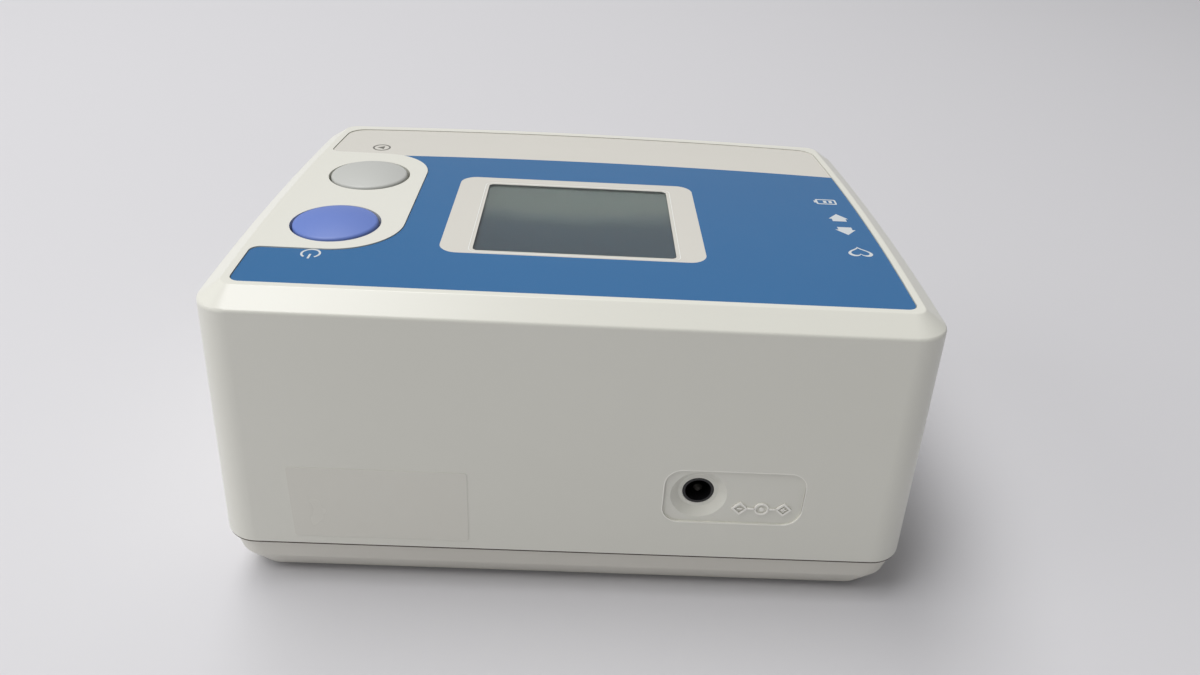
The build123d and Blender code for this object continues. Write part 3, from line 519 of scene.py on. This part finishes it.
def build_panel_material():
    """Glossy film, printed blue and cream."""
    material, tree, shader = start_material("panel_film")
    shader.inputs["IOR"].default_value = PLASTIC_IOR
    axes = add_node(tree, "ShaderNodeSeparateXYZ")
    plug(tree, axes.inputs["Vector"], panel_place(tree))
    squared = number_math(tree, "MULTIPLY", axes.outputs["X"], axes.outputs["X"])
    line = number_math(tree, "MULTIPLY_ADD", squared, LINE_BOW, LINE_LEVEL)
    above = number_math(tree, "GREATER_THAN", axes.outputs["Y"], line)
    border = add_node(tree, "ShaderNodeGroup", node_tree=rounded_box_group)
    plug_named(tree, border, {"Centre": (*FRAME_CENTRE, 0.0), "Half Size": (*FRAME_HALF, 0.0),
                              "Radius": FRAME_RADIUS})
    blue_here = number_math(tree, "SUBTRACT", above, border.outputs["Inside"], use_clamp=True)
    printed = mix_colours(tree, blue_here, ink(tree, *CREAM_INK), ink(tree, *BLUE_INK))
    film = add_node(tree, "ShaderNodeGroup", node_tree=moulded_group)
    plug_named(tree, film, {"Gloss Low": FILM_GLOSS[0], "Gloss High": FILM_GLOSS[1]})
    plug_named(tree, shader, {"Base Color": printed, "Roughness": film.outputs["Roughness"]})
    add_bump(tree, shader, film.outputs["Height"], FILM_GRAIN, FILM_GRAIN_DEPTH)
    return material


panel_film = build_panel_material()
print("panel film has", len(panel_film.node_tree.nodes), "nodes")

# %% [markdown]
# ## Display
#
# The display is off, so it shows only the grey-green of its polariser under a clear window. The
# window is real glass to the renderer. The polariser's colour is painted lighter towards the front
# edge and darker at the rear: a painted reflection, made with a gradient along the panel and
# softened by noise.

# %% Display materials
# The lighter front colour holds a painted reflection over the polariser's grey-green.
LCD_FRONT_WITH_REFLECTION = (125, 141, 134)
LCD_REAR = (66, 90, 101)
LCD_ROUGHNESS = 0.22
LCD_REFLECTION_ENDS = (0.46, 0.72)
CLOUD_SCALE = 30.0
CLOUD_SHARE = 0.25
WINDOW_IOR = 1.45
SMEAR_SCALE = 60.0
SMEAR_GLOSS = (0.0, 0.05)


def build_lcd_material():
    """Grey-green polariser, with a painted reflection that lightens it towards the front edge."""
    material, tree, shader = start_material("lcd_polariser")
    shader.inputs["Roughness"].default_value = LCD_ROUGHNESS
    place = object_place(tree)
    axes = add_node(tree, "ShaderNodeSeparateXYZ")
    plug(tree, axes.inputs["Vector"], place)
    low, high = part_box("lcd_glass")
    along = map_range(tree, axes.outputs["Y"], (low.y, high.y), WHOLE)
    shifted = number_math(tree, "MULTIPLY_ADD", noise(tree, place, CLOUD_SCALE), CLOUD_SHARE, along)
    # How much of the painted reflection shows, from the rear edge to the front.
    change = map_range(tree, shifted, LCD_REFLECTION_ENDS, WHOLE, interpolation_type="SMOOTHSTEP")
    tone = mix_colours(tree, change, linear(*LCD_FRONT_WITH_REFLECTION), linear(*LCD_REAR))
    plug(tree, shader.inputs["Base Color"], tone)
    return material


def build_window_material():
    """Clear plastic window with very slight smears."""
    material, tree, shader = start_material("clear_window")
    smears = noise(tree, object_place(tree), SMEAR_SCALE)
    plug_named(tree, shader, {"Transmission Weight": 1.0, "IOR": WINDOW_IOR,
                              "Base Color": (1.0, 1.0, 1.0, 1.0),
                              "Roughness": map_range(tree, smears, WHOLE, SMEAR_GLOSS)})
    return material


lcd_polariser = build_lcd_material()
clear_window = build_window_material()
print("display materials:", lcd_polariser.name, clear_window.name)

# %% [markdown]
# ## Finishes on the CAD nodes
#
# Each CAD node keeps its mesh and only changes the material in its slots. A table of finishes and
# one loop are shorter than a line for each node, and a node left out shows in the printed count.

# %% Give each CAD node its finish
node_finish = {
    case_white: ["top_case"],
    base_grey: ["bottom_case", "battery_cover"],
    panel_film: ["panel_overlay"],
    clear_window: ["display_window"],
    lcd_polariser: ["lcd_glass"],
    blue_cap: ["power_button"],
    grey_cap: ["start_button"],
    black_plastic: ["dc_jack", "control_chip", "buzzer", "power_switch", "start_switch", "pump_head"],
    white_plastic: ["lcd_holder", "air_socket", "socket_nut", "air_manifold", "pressure_sensor",
                    "drive_crank", "release_valve"],
    plunger_plastic: ["power_plunger", "start_plunger"],
    silicone: ["air_tubes"],
    rubber: ["rubber_feet", "socket_seal", "pump_mounts", "contact_strips"],
    board_green: ["main_board"],
    steel: ["board_screws", "case_screws", "motor_shaft", "valve_plunger"],
    motor_steel: ["pump_motor"],
    nickel: ["battery_contacts", "battery_springs"],
    # The pin's dark nickel is painted shade of the socket round it.
    nickel_painted_shade: ["dc_pin"],
    cell_sleeve: ["battery_cells"],
}
for finish, names in node_finish.items():
    for name in names:
        node_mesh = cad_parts[name].data
        for index in range(len(node_mesh.materials)):
            node_mesh.materials[index] = finish
        if not node_mesh.materials:
            node_mesh.materials.append(finish)
finished = sum(len(names) for names in node_finish.values())
print("nodes with a finish:", finished, "of", len(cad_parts))

# %% [markdown]
# ## Floor finish
#
# The sheet is a matt pale grey with the faintest unevenness, so that the object's shadow stays the
# only thing that draws the eye. The plastic's function serves for it too, with a drift so slow that
# no patch of it shows, and with no grain.

# %% Floor material
pale_sheet = plastic("pale_sheet", (213, 212, 215), (210, 209, 212), (0.8, 0.9), 0.0, drift_scale=1.5)
floor.data.materials.append(pale_sheet)
print("floor finish:", pale_sheet.name)

# %% [markdown]
# ## Drawing flat symbols
#
# Print on the film and marks on the wall are thin flat pieces. Each is drawn as closed outlines in
# millimetres on its plane. A 2D curve fills the space between an outline and the holes inside it,
# which is easier than building such faces by hand, and is then turned into a mesh. Outlines that
# touch confuse the filling, so each shape of a sign is filled on its own and then joined.

# %% Outlines
FULL_TURN = 2 * math.pi
QUARTER_TURN = math.pi / 2


def circle(centre, radius, steps=32):
    """A closed round outline."""
    angles = [FULL_TURN * i / steps for i in range(steps)]
    return [(centre[0] + radius * math.cos(a), centre[1] + radius * math.sin(a)) for a in angles]


def rounded_rectangle(centre, width, length, radius, steps=6):
    """A closed rectangular outline with round corners."""
    points = []
    for quarter, (side_x, side_y) in enumerate(((1, 1), (-1, 1), (-1, -1), (1, -1))):
        corner = (centre[0] + side_x * (width / 2 - radius), centre[1] + side_y * (length / 2 - radius))
        for i in range(steps + 1):
            angle = QUARTER_TURN * (quarter + i / steps)
            points.append((corner[0] + radius * math.cos(angle), corner[1] + radius * math.sin(angle)))
    return points


def bar(start, end, width):
    """A straight stroke between two points."""
    along = (Vector(end) - Vector(start)).normalized() * width / 2
    across = Vector((-along.y, along.x))
    ends = [Vector(start) - across, Vector(end) - across, Vector(end) + across, Vector(start) + across]
    return [tuple(point) for point in ends]


def broken_ring(centre, radius, width, gap, steps=28):
    """A ring with a gap at its top, as one closed outline."""
    angles = [QUARTER_TURN + gap / 2 + (FULL_TURN - gap) * i / steps for i in range(steps + 1)]
    sides = [(radius + width / 2, angles), (radius - width / 2, angles[::-1])]
    return [(centre[0] + r * math.cos(a), centre[1] + r * math.sin(a)) for r, turn in sides for a in turn]


print("a stroke has", len(bar((0, 0), (1, 0), 0.4)), "corners")

# %% [markdown]
# A filled outline becomes a plate of some height. `flat_piece` joins the plates of a sign, lays them
# on a board, and says which body carries the piece and which finish it takes.

# %% Plates from outlines
SAME_PLACE = 1e-4


def filled_mesh(outlines, height):
    """The area between closed outlines as a plate of some height, centred on its plane."""
    curve = bpy.data.curves.new("drawing", "CURVE")
    curve.dimensions = "2D"
    curve.fill_mode = "BOTH"
    curve.extrude = height / 2
    for outline in outlines:
        spline = curve.splines.new("POLY")
        spline.points.add(len(outline) - 1)
        for point, (x, y) in zip(spline.points, outline):
            point.co = (x, y, 0.0, 1.0)
        spline.use_cyclic_u = True
    drawn = new_object("drawing", curve)
    mesh = bpy.data.meshes.new_from_object(drawn.evaluated_get(bpy.context.evaluated_depsgraph_get()))
    bpy.data.objects.remove(drawn)
    return mesh


def flat_piece(name, shapes, board, base, height, material):
    """One piece from shapes on a board, each a list of outlines, from a base up to a height."""
    work = bmesh.new()
    for outlines in shapes:
        work.from_mesh(filled_mesh(outlines, height))
    bmesh.ops.remove_doubles(work, verts=work.verts, dist=SAME_PLACE)
    bmesh.ops.recalc_face_normals(work, faces=work.faces)
    mesh = bpy.data.meshes.new(name)
    work.to_mesh(mesh)
    work.free()
    mesh.transform(board @ Matrix.Translation((0.0, 0.0, base + height / 2)))
    mesh.materials.append(material)
    piece = new_object(name, mesh)
    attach(piece, "housing")
    print(name, "has", len(mesh.polygons), "faces")
    return piece


print("points of a plate closer than", SAME_PLACE, "mm are joined")

# %% [markdown]
# ## Symbols on the panel
#
# Beside the display the panel has a column of four signs: a heart when the device is ready, arrows
# for pumping and letting air out, and a battery. A power sign and a start sign mark the buttons.
# They are common signs that many devices carry.

# %% Signs as outlines
HEART_PLACE = (-63.7, -28.6)
HEART_WIDTH = 5.6
HEART_HOLLOW = 0.74
HEART_CURVE_WIDTH, HEART_CURVE_LIFT = 32, 2.5
PUMP_PLACE = (-63.3, -39.9)
RELEASE_PLACE = (-63.1, -47.6)
ARROW_HEAD_HALF, ARROW_HEAD = 2.4, 2.9
ARROW_STEM_HALF, ARROW_STEM = 1.7, 1.5
ARROW_MIDDLE = 0.6
BATTERY_PLACE = (-62.3, -57.6)
BATTERY_OUTER = (5.2, 3.2, 0.5)
BATTERY_INNER = (4.3, 2.3, 0.3)
CHARGE_PLACES = (-1.1, 0.3)
CHARGE_HALF, CHARGE_WIDTH = 0.75, 0.8
TERMINAL_ENDS, TERMINAL_WIDTH = (2.55, 3.1), 1.3


def heart(centre, width, steps=36):
    """A heart outline, point down, from the usual parametric heart curve."""
    points = []
    share = width / HEART_CURVE_WIDTH
    for i in range(steps):
        t = FULL_TURN * i / steps
        x = 16 * math.sin(t) ** 3
        y = 13 * math.cos(t) - 5 * math.cos(2 * t) - 2 * math.cos(3 * t) - math.cos(4 * t)
        points.append((centre[0] + x * share, centre[1] + (y + HEART_CURVE_LIFT) * share))
    return points


def arrow(centre, up):
    """A broad arrow head on a short stem, pointing up or down."""
    shape = [(-ARROW_STEM_HALF, -ARROW_STEM), (ARROW_STEM_HALF, -ARROW_STEM), (ARROW_STEM_HALF, 0),
             (ARROW_HEAD_HALF, 0), (0, ARROW_HEAD), (-ARROW_HEAD_HALF, 0), (-ARROW_STEM_HALF, 0)]
    return [(centre[0] + x, centre[1] + up * (y - ARROW_MIDDLE)) for x, y in shape]


def battery(centre):
    """Shapes of a battery: its outline, two charge bars and its terminal."""
    x, y = centre
    shapes = [[rounded_rectangle(centre, *size, steps=3) for size in (BATTERY_OUTER, BATTERY_INNER)]]
    for shift in CHARGE_PLACES:
        shapes.append([bar((x + shift, y - CHARGE_HALF), (x + shift, y + CHARGE_HALF), CHARGE_WIDTH)])
    shapes.append([bar(*[(x + end, y) for end in TERMINAL_ENDS], TERMINAL_WIDTH)])
    return shapes


display_signs = [[heart(HEART_PLACE, HEART_WIDTH), heart(HEART_PLACE, HEART_WIDTH * HEART_HOLLOW)],
                 [arrow(PUMP_PLACE, 1)], [arrow(RELEASE_PLACE, -1)], *battery(BATTERY_PLACE)]
print("signs beside the display:", len(display_signs), "shapes")

# %% [markdown]
# The button signs are strokes of one width. A fine white line round the display's window is printed
# in the same way. The ink is a few hundredths of a millimetre thick, so it is a thin plate on the
# film: a mask in the film's material would do as well, but it would need many nodes for each sign.

# %% Prints on the panel
FILM_DEPTH = 0.2
INK_HEIGHT = 0.03
STROKE = 0.45
POWER_SIGN_PLACE = (56.4, -15.4)
POWER_SIGN_RADIUS = 1.9
POWER_SIGN_GAP = math.radians(70)
POWER_STROKE_ENDS = (0.3, 2.4)
START_SIGN_PLACE = (54.9, -82.2)
START_SIGN_RADIUS = 2.4
START_TRIANGLE = ((-0.7, -1.1), (1.2, 0.0), (-0.7, 1.1))
VIEW_CENTRE = (0.8, -40.0)
VIEW_SIZE = (46.5, 40.7)
VIEW_LINE = 0.18
VIEW_CORNERS = (1.8, 1.6)

power_x, power_y = POWER_SIGN_PLACE
power_sign = [[broken_ring(POWER_SIGN_PLACE, POWER_SIGN_RADIUS, STROKE, POWER_SIGN_GAP)],
              [bar(*[(power_x, power_y + end) for end in POWER_STROKE_ENDS], STROKE)]]
start_x, start_y = START_SIGN_PLACE
start_sign = [[circle(START_SIGN_PLACE, START_SIGN_RADIUS - inset) for inset in (0.0, STROKE)],
              [[(start_x + x, start_y + y) for x, y in START_TRIANGLE]]]
window_line = [[rounded_rectangle(VIEW_CENTRE, *[side - 2 * inset for side in VIEW_SIZE], corner)
                for inset, corner in zip((0.0, VIEW_LINE), VIEW_CORNERS)]]
light_ink = plastic("light_ink", (216, 220, 222), (206, 211, 214), (0.3, 0.4), 0.02)
white_ink = plastic("white_ink", (231, 232, 228), (226, 227, 222), (0.3, 0.4), 0.02)
grey_ink = plastic("grey_ink", (120, 118, 112), (108, 106, 100), (0.35, 0.45), 0.02)
for label, shapes, finish in (("panel_symbols", display_signs + power_sign, light_ink),
                              ("start_symbol", start_sign, grey_ink),
                              ("window_line", window_line, white_ink)):
    flat_piece(label, shapes, top_board, -FILM_DEPTH, INK_HEIGHT, finish)

# %% [markdown]
# ## Marks on the rear wall
#
# Beside the inlet the mould raises the usual sign for a plug's polarity: two diamonds and a circle
# on one line. A thin ring marks the edge of the sunk plate round the inlet and the sign, as a
# painted highlight where that edge catches the light. The sign and the ring take a lighter copy of
# the case's white, as painted highlight. A thin pale film is stuck low on the wall, on the other
# side. Such low marks could be bump in a material, but only real edges catch the light from every side.

# %% Polarity sign as outlines
SIGN_CENTRE = (14.35, -3.3)
SIGN_REACH = 4.9
SIGN_STROKE = 0.4
DIAMOND_HALF = 1.85
RING_RADIUS = 1.45
DOT_RADIUS = 0.5
CROSS_HALF, CROSS_STROKE = 0.6, 0.3
STROKE_OVERLAP = 0.3


def diamond(centre, half):
    """A square outline on its corner."""
    return [(centre[0] + half * x, centre[1] + half * y) for x, y in ((1, 0), (0, 1), (-1, 0), (0, -1))]


def polarity_sign(centre):
    """Minus in a diamond, a ring round a dot, and plus in a diamond, joined by strokes."""
    x, y = centre
    plus_x = x + SIGN_REACH
    stroke_end = SIGN_REACH - DIAMOND_HALF + STROKE_OVERLAP
    shapes = [[circle(centre, RING_RADIUS + SIGN_STROKE / 2), circle(centre, RING_RADIUS - SIGN_STROKE / 2)],
              [circle(centre, DOT_RADIUS, 16)],
              [bar((plus_x, y - CROSS_HALF), (plus_x, y + CROSS_HALF), CROSS_STROKE)]]
    for side in (-1, 1):
        end_x = x + side * SIGN_REACH
        shapes.append([diamond((end_x, y), DIAMOND_HALF),
                       diamond((end_x, y), DIAMOND_HALF - SIGN_STROKE * math.sqrt(2))])
        shapes.append([bar((end_x - CROSS_HALF, y), (end_x + CROSS_HALF, y), CROSS_STROKE)])
        shapes.append([bar((x + side * RING_RADIUS, y), (x + side * stroke_end, y), SIGN_STROKE)])
    return shapes


sign_shapes = polarity_sign(SIGN_CENTRE)
print("polarity sign:", len(sign_shapes), "shapes")

# %% [markdown]
# All three marks are drawn on the wall's board, which stands on the inlet's axis. The sign grows from
# the floor of the plate, and the film lies on the wall itself.

# %% Sign, edge highlight ring and film
PLATE_DEPTH = 0.45
SIGN_HEIGHT = 0.34
PLATE_CENTRE = (7.75, -0.3)
PLATE_SIZE = (31.1, 14.6)
PLATE_RADIUS = 4.0
RIM_GROWTHS = (0.0, 0.4)
RIM_FOOT, RIM_PROUD = 0.2, 0.02
LABEL_CENTRE = (-70.35, -5.9)
LABEL_SIZE = (39.0, 19.7)
LABEL_CORNER = 0.8
LABEL_HEIGHT = 0.07

# A thin ring just outside the plate's edge, in the lighter white: painted highlight on that edge.
edge_highlight_outlines = [rounded_rectangle(PLATE_CENTRE, *[side + growth for side in PLATE_SIZE],
                                  PLATE_RADIUS + growth / 2, steps=10) for growth in RIM_GROWTHS]
label_outline = rounded_rectangle(LABEL_CENTRE, *LABEL_SIZE, LABEL_CORNER)
# A lighter copy of the case's white, for the sign and the ring: painted highlight.
painted_highlight_white = plastic("painted_highlight_white", (254, 252, 245), (251, 249, 241), (0.2, 0.3), 0.02)
label_film = plastic("label_film", (227, 225, 216), (224, 222, 212), (0.2, 0.3), 0.04, drift_scale=60.0)
for label, shapes, base, height, finish, slot in (
        ("polarity_sign", sign_shapes, -PLATE_DEPTH, SIGN_HEIGHT, painted_highlight_white, "case_plastic"),
        ("plate_edge_highlight", [edge_highlight_outlines], -RIM_FOOT, RIM_FOOT + RIM_PROUD, painted_highlight_white, "case_plastic"),
        ("label_film", [[label_outline]], 0.0, LABEL_HEIGHT, label_film, "clear_plastic")):
    flat_piece(label, shapes, wall_board, base, height, finish)

# %% [markdown]
# ## Screws
#
# Two sets of screws differ only in size, place and tilt. One Geometry Nodes tree makes them all: a
# head with a cross cut out of it and a shank, set on every point of a small mesh. Instances are
# light while the tree works, but an export drops them, so they are made real at the end.

# %% Tree: screws
SCREW_SIDES = 32
CROSS_SHARE = 1.25
SCREW_SIZES = ("Head Radius", "Head Height", "Shank Radius", "Shank Length", "Slot Width")


def build_screw_tree():
    """Cross-head screws on every point of a mesh, heads towards -Z before the tilt."""
    tree = bpy.data.node_groups.new("screws", "GeometryNodeTree")
    tree.interface.new_socket("Places", in_out="INPUT", socket_type="NodeSocketGeometry")
    for label in SCREW_SIZES:
        tree.interface.new_socket(label, in_out="INPUT", socket_type=NUMBER).default_value = MM
    tree.interface.new_socket("Tilt", in_out="INPUT", socket_type=VECTOR)
    tree.interface.new_socket("Finish", in_out="INPUT", socket_type="NodeSocketMaterial")
    tree.interface.new_socket("Screws", in_out="OUTPUT", socket_type="NodeSocketGeometry")
    source, result = add_node(tree, "NodeGroupInput"), add_node(tree, "NodeGroupOutput")
    given = source.outputs

    def scaled(label, factor):
        """An input of the tree times a factor."""
        return number_math(tree, "MULTIPLY", given[label], factor)

    def raised(mesh, height):
        """A mesh moved up by a height."""
        place, shift = add_node(tree, "ShaderNodeCombineXYZ"), add_node(tree, "GeometryNodeTransform")
        plug(tree, place.inputs["Z"], height)
        plug_named(tree, shift, {"Geometry": mesh, "Translation": place.outputs["Vector"]})
        return shift.outputs["Geometry"]

    def cylinder(radius, length):
        """A round bar centred on its origin."""
        node = add_node(tree, "GeometryNodeMeshCylinder")
        plug_named(tree, node, {"Vertices": SCREW_SIDES, "Radius": given[radius], "Depth": given[length]})
        return node.outputs["Mesh"]

    head = raised(cylinder("Head Radius", "Head Height"), scaled("Head Height", -0.5))
    cut = add_node(tree, "GeometryNodeMeshBoolean", operation="DIFFERENCE")
    plug(tree, cut.inputs["Mesh 1"], head)
    for long_way, short_way in (("X", "Y"), ("Y", "X")):
        size, slot = add_node(tree, "ShaderNodeCombineXYZ"), add_node(tree, "GeometryNodeMeshCube")
        plug_named(tree, size, {long_way: scaled("Head Radius", CROSS_SHARE), short_way: given["Slot Width"],
                                "Z": given["Head Height"]})
        plug(tree, slot.inputs["Size"], size.outputs["Vector"])
        plug(tree, cut.inputs["Mesh 2"], raised(slot.outputs["Mesh"], scaled("Head Height", -1.0)))
    shank = raised(cylinder("Shank Radius", "Shank Length"), scaled("Shank Length", 0.5))
    screw = add_node(tree, "GeometryNodeJoinGeometry")
    for part in (cut.outputs["Mesh"], shank):
        plug(tree, screw.inputs["Geometry"], part)
    placed = add_node(tree, "GeometryNodeInstanceOnPoints")
    plug_named(tree, placed, {"Points": given["Places"], "Instance": screw.outputs["Geometry"],
                              "Rotation": given["Tilt"]})
    real, coated = add_node(tree, "GeometryNodeRealizeInstances"), add_node(tree, "GeometryNodeSetMaterial")
    plug(tree, real.inputs["Geometry"], placed.outputs["Instances"])
    plug_named(tree, coated, {"Geometry": real.outputs["Geometry"], "Material": given["Finish"]})
    plug(tree, result.inputs["Screws"], coated.outputs["Geometry"])
    return tree


screw_tree = build_screw_tree()
print("tree", screw_tree.name, "has", len(screw_tree.nodes), "nodes")

# %% [markdown]
# The places come from the CAD nodes themselves. In a node with several loose screws, the middle of
# each loose part gives its place, and its end on the head's side gives the height.

# %% Set the screws
CASE_SCREW = dict(zip(SCREW_SIZES, (2.9, 2.0, 1.5, 22.0, 0.9)))
BOARD_SCREW = dict(zip(SCREW_SIZES, (2.2, 1.4, 1.1, 7.0, 0.7)))
SAME_CORNER = 1e-6
SHARP_EDGE = math.radians(40)


def loose_parts(mesh):
    """Point lists of the loose parts of a mesh, in the order of its corners."""
    work = bmesh.new()
    work.from_mesh(mesh)
    bmesh.ops.remove_doubles(work, verts=work.verts, dist=SAME_CORNER)
    work.verts.index_update()
    seen, parts = set(), []
    for first in work.verts:
        if first.index in seen:
            continue
        part = [first]
        seen.add(first.index)
        for corner in part:
            for edge in corner.link_edges:
                near = edge.other_vert(corner)
                if near.index not in seen:
                    part.append(near)
                    seen.add(near.index)
        parts.append([corner.co.copy() for corner in part])
    work.free()
    return parts


def set_screws(name, node_name, sizes, tilt):
    """Screws that stand where a CAD node has them."""
    axis = Matrix.Rotation(tilt, 3, "X") @ Vector((0.0, 0.0, 1.0))
    places = []
    for part in loose_parts(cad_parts[node_name].data):
        middle = sum(part, Vector()) / len(part)
        head_end = min(point.dot(axis) for point in part)
        places.append(middle + axis * (head_end + sizes["Head Height"] * MM - middle.dot(axis)))
    piece = mesh_object(name, places, [])
    modifier = piece.modifiers.new("screws", "NODES")
    modifier.node_group = screw_tree
    values = {label: size * MM for label, size in sizes.items()}
    values.update({"Tilt": (tilt, 0.0, 0.0), "Finish": steel})
    for socket in screw_tree.interface.items_tree:
        if socket.in_out == "INPUT" and socket.name in values:
            modifier[socket.identifier] = values[socket.name]
    made = bpy.data.meshes.new_from_object(piece.evaluated_get(bpy.context.evaluated_depsgraph_get()))
    piece.modifiers.remove(modifier)
    piece.data = made
    made.shade_smooth()
    made.set_sharp_from_angle(angle=SHARP_EDGE)
    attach(piece, "housing")
    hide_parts(node_name)
    print(name, "has", len(places), "screws and", len(made.polygons), "faces")


set_screws("cross_head_case_screws", "case_screws", CASE_SCREW, 0.0)
set_screws("cross_head_board_screws", "board_screws", BOARD_SCREW, TOP_SLOPE)

# %% [markdown]
# ## Seam line of painted shade
#
# The two case halves meet with a fine gap, which reads as one dark line all round. That line is
# painted shade: a dark strip stands where the gap would lie in shade. Its path is the outer edge of
# the top case. That plan is convex, so its outline is the convex hull of the lowest points of the
# CAD mesh, and no measure has to be copied.

# %% Outline of the case at the seam
SAME_HEIGHT = 1e-6
PLACE_DIGITS = 7


def convex_outline(points):
    """Corners of the convex hull of flat points, counter-clockwise."""
    chains = []
    for ordered in (sorted(points), sorted(points, reverse=True)):
        chain = []
        for point in ordered:
            while len(chain) > 1 and ((chain[-1][0] - chain[-2][0]) * (point[1] - chain[-2][1])
                                      <= (chain[-1][1] - chain[-2][1]) * (point[0] - chain[-2][0])):
                chain.pop()
            chain.append(point)
        chains += chain[:-1]
    return chains


def inset_outline(outline, inset):
    """A convex outline moved inwards by an inset."""
    moved = []
    for i, point in enumerate(outline):
        before, after = Vector(outline[i - 1]), Vector(outline[(i + 1) % len(outline)])
        along = (after - before).normalized()
        moved.append(Vector(point) + Vector((-along.y, along.x)) * inset)
    return moved


case_points = [vertex.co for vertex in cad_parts["top_case"].data.vertices]
seam_z = min(point.z for point in case_points)
case_outline = convex_outline({(round(p.x, PLACE_DIGITS), round(p.y, PLACE_DIGITS))
                               for p in case_points if p.z - seam_z < SAME_HEIGHT})
print("the case has", len(case_outline), "corners at", round(seam_z / MM, 2), "mm")

# %% [markdown]
# Two strips of painted shade follow that outline just inside it: one stands upright and shows as
# the dark line, and one reaches inwards from its lower edge. A closed band would look the same, but
# its other faces would never be seen.

# %% Painted shade between the case halves
SEAM_INSET, SEAM_INNER = 0.1, 0.7
SEAM_TOP, SEAM_BOTTOM = 0.02, 0.46
seam_edges = ((SEAM_INSET, SEAM_TOP), (SEAM_INSET, SEAM_BOTTOM), (SEAM_INNER, SEAM_BOTTOM))

corners = len(case_outline)
seam_vertices = [(point.x, point.y, seam_z - depth * MM)
                 for inset, depth in seam_edges for point in inset_outline(case_outline, inset * MM)]
seam_faces = []
for row in range(len(seam_edges) - 1):
    for i in range(corners):
        here, beside = row * corners + i, row * corners + (i + 1) % corners
        seam_faces.append((here, here + corners, beside + corners, beside))
seam_shade_line = mesh_object("seam_shade_line", seam_vertices, seam_faces)
# The dark strips are painted shade of the gap between the halves.
seam_shade_line.data.materials.append(plastic("seam_painted_shade", (84, 72, 62), (70, 60, 52), (0.7, 0.85), 0.0))
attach(seam_shade_line, "housing")
print("seam line has", len(seam_faces), "faces")
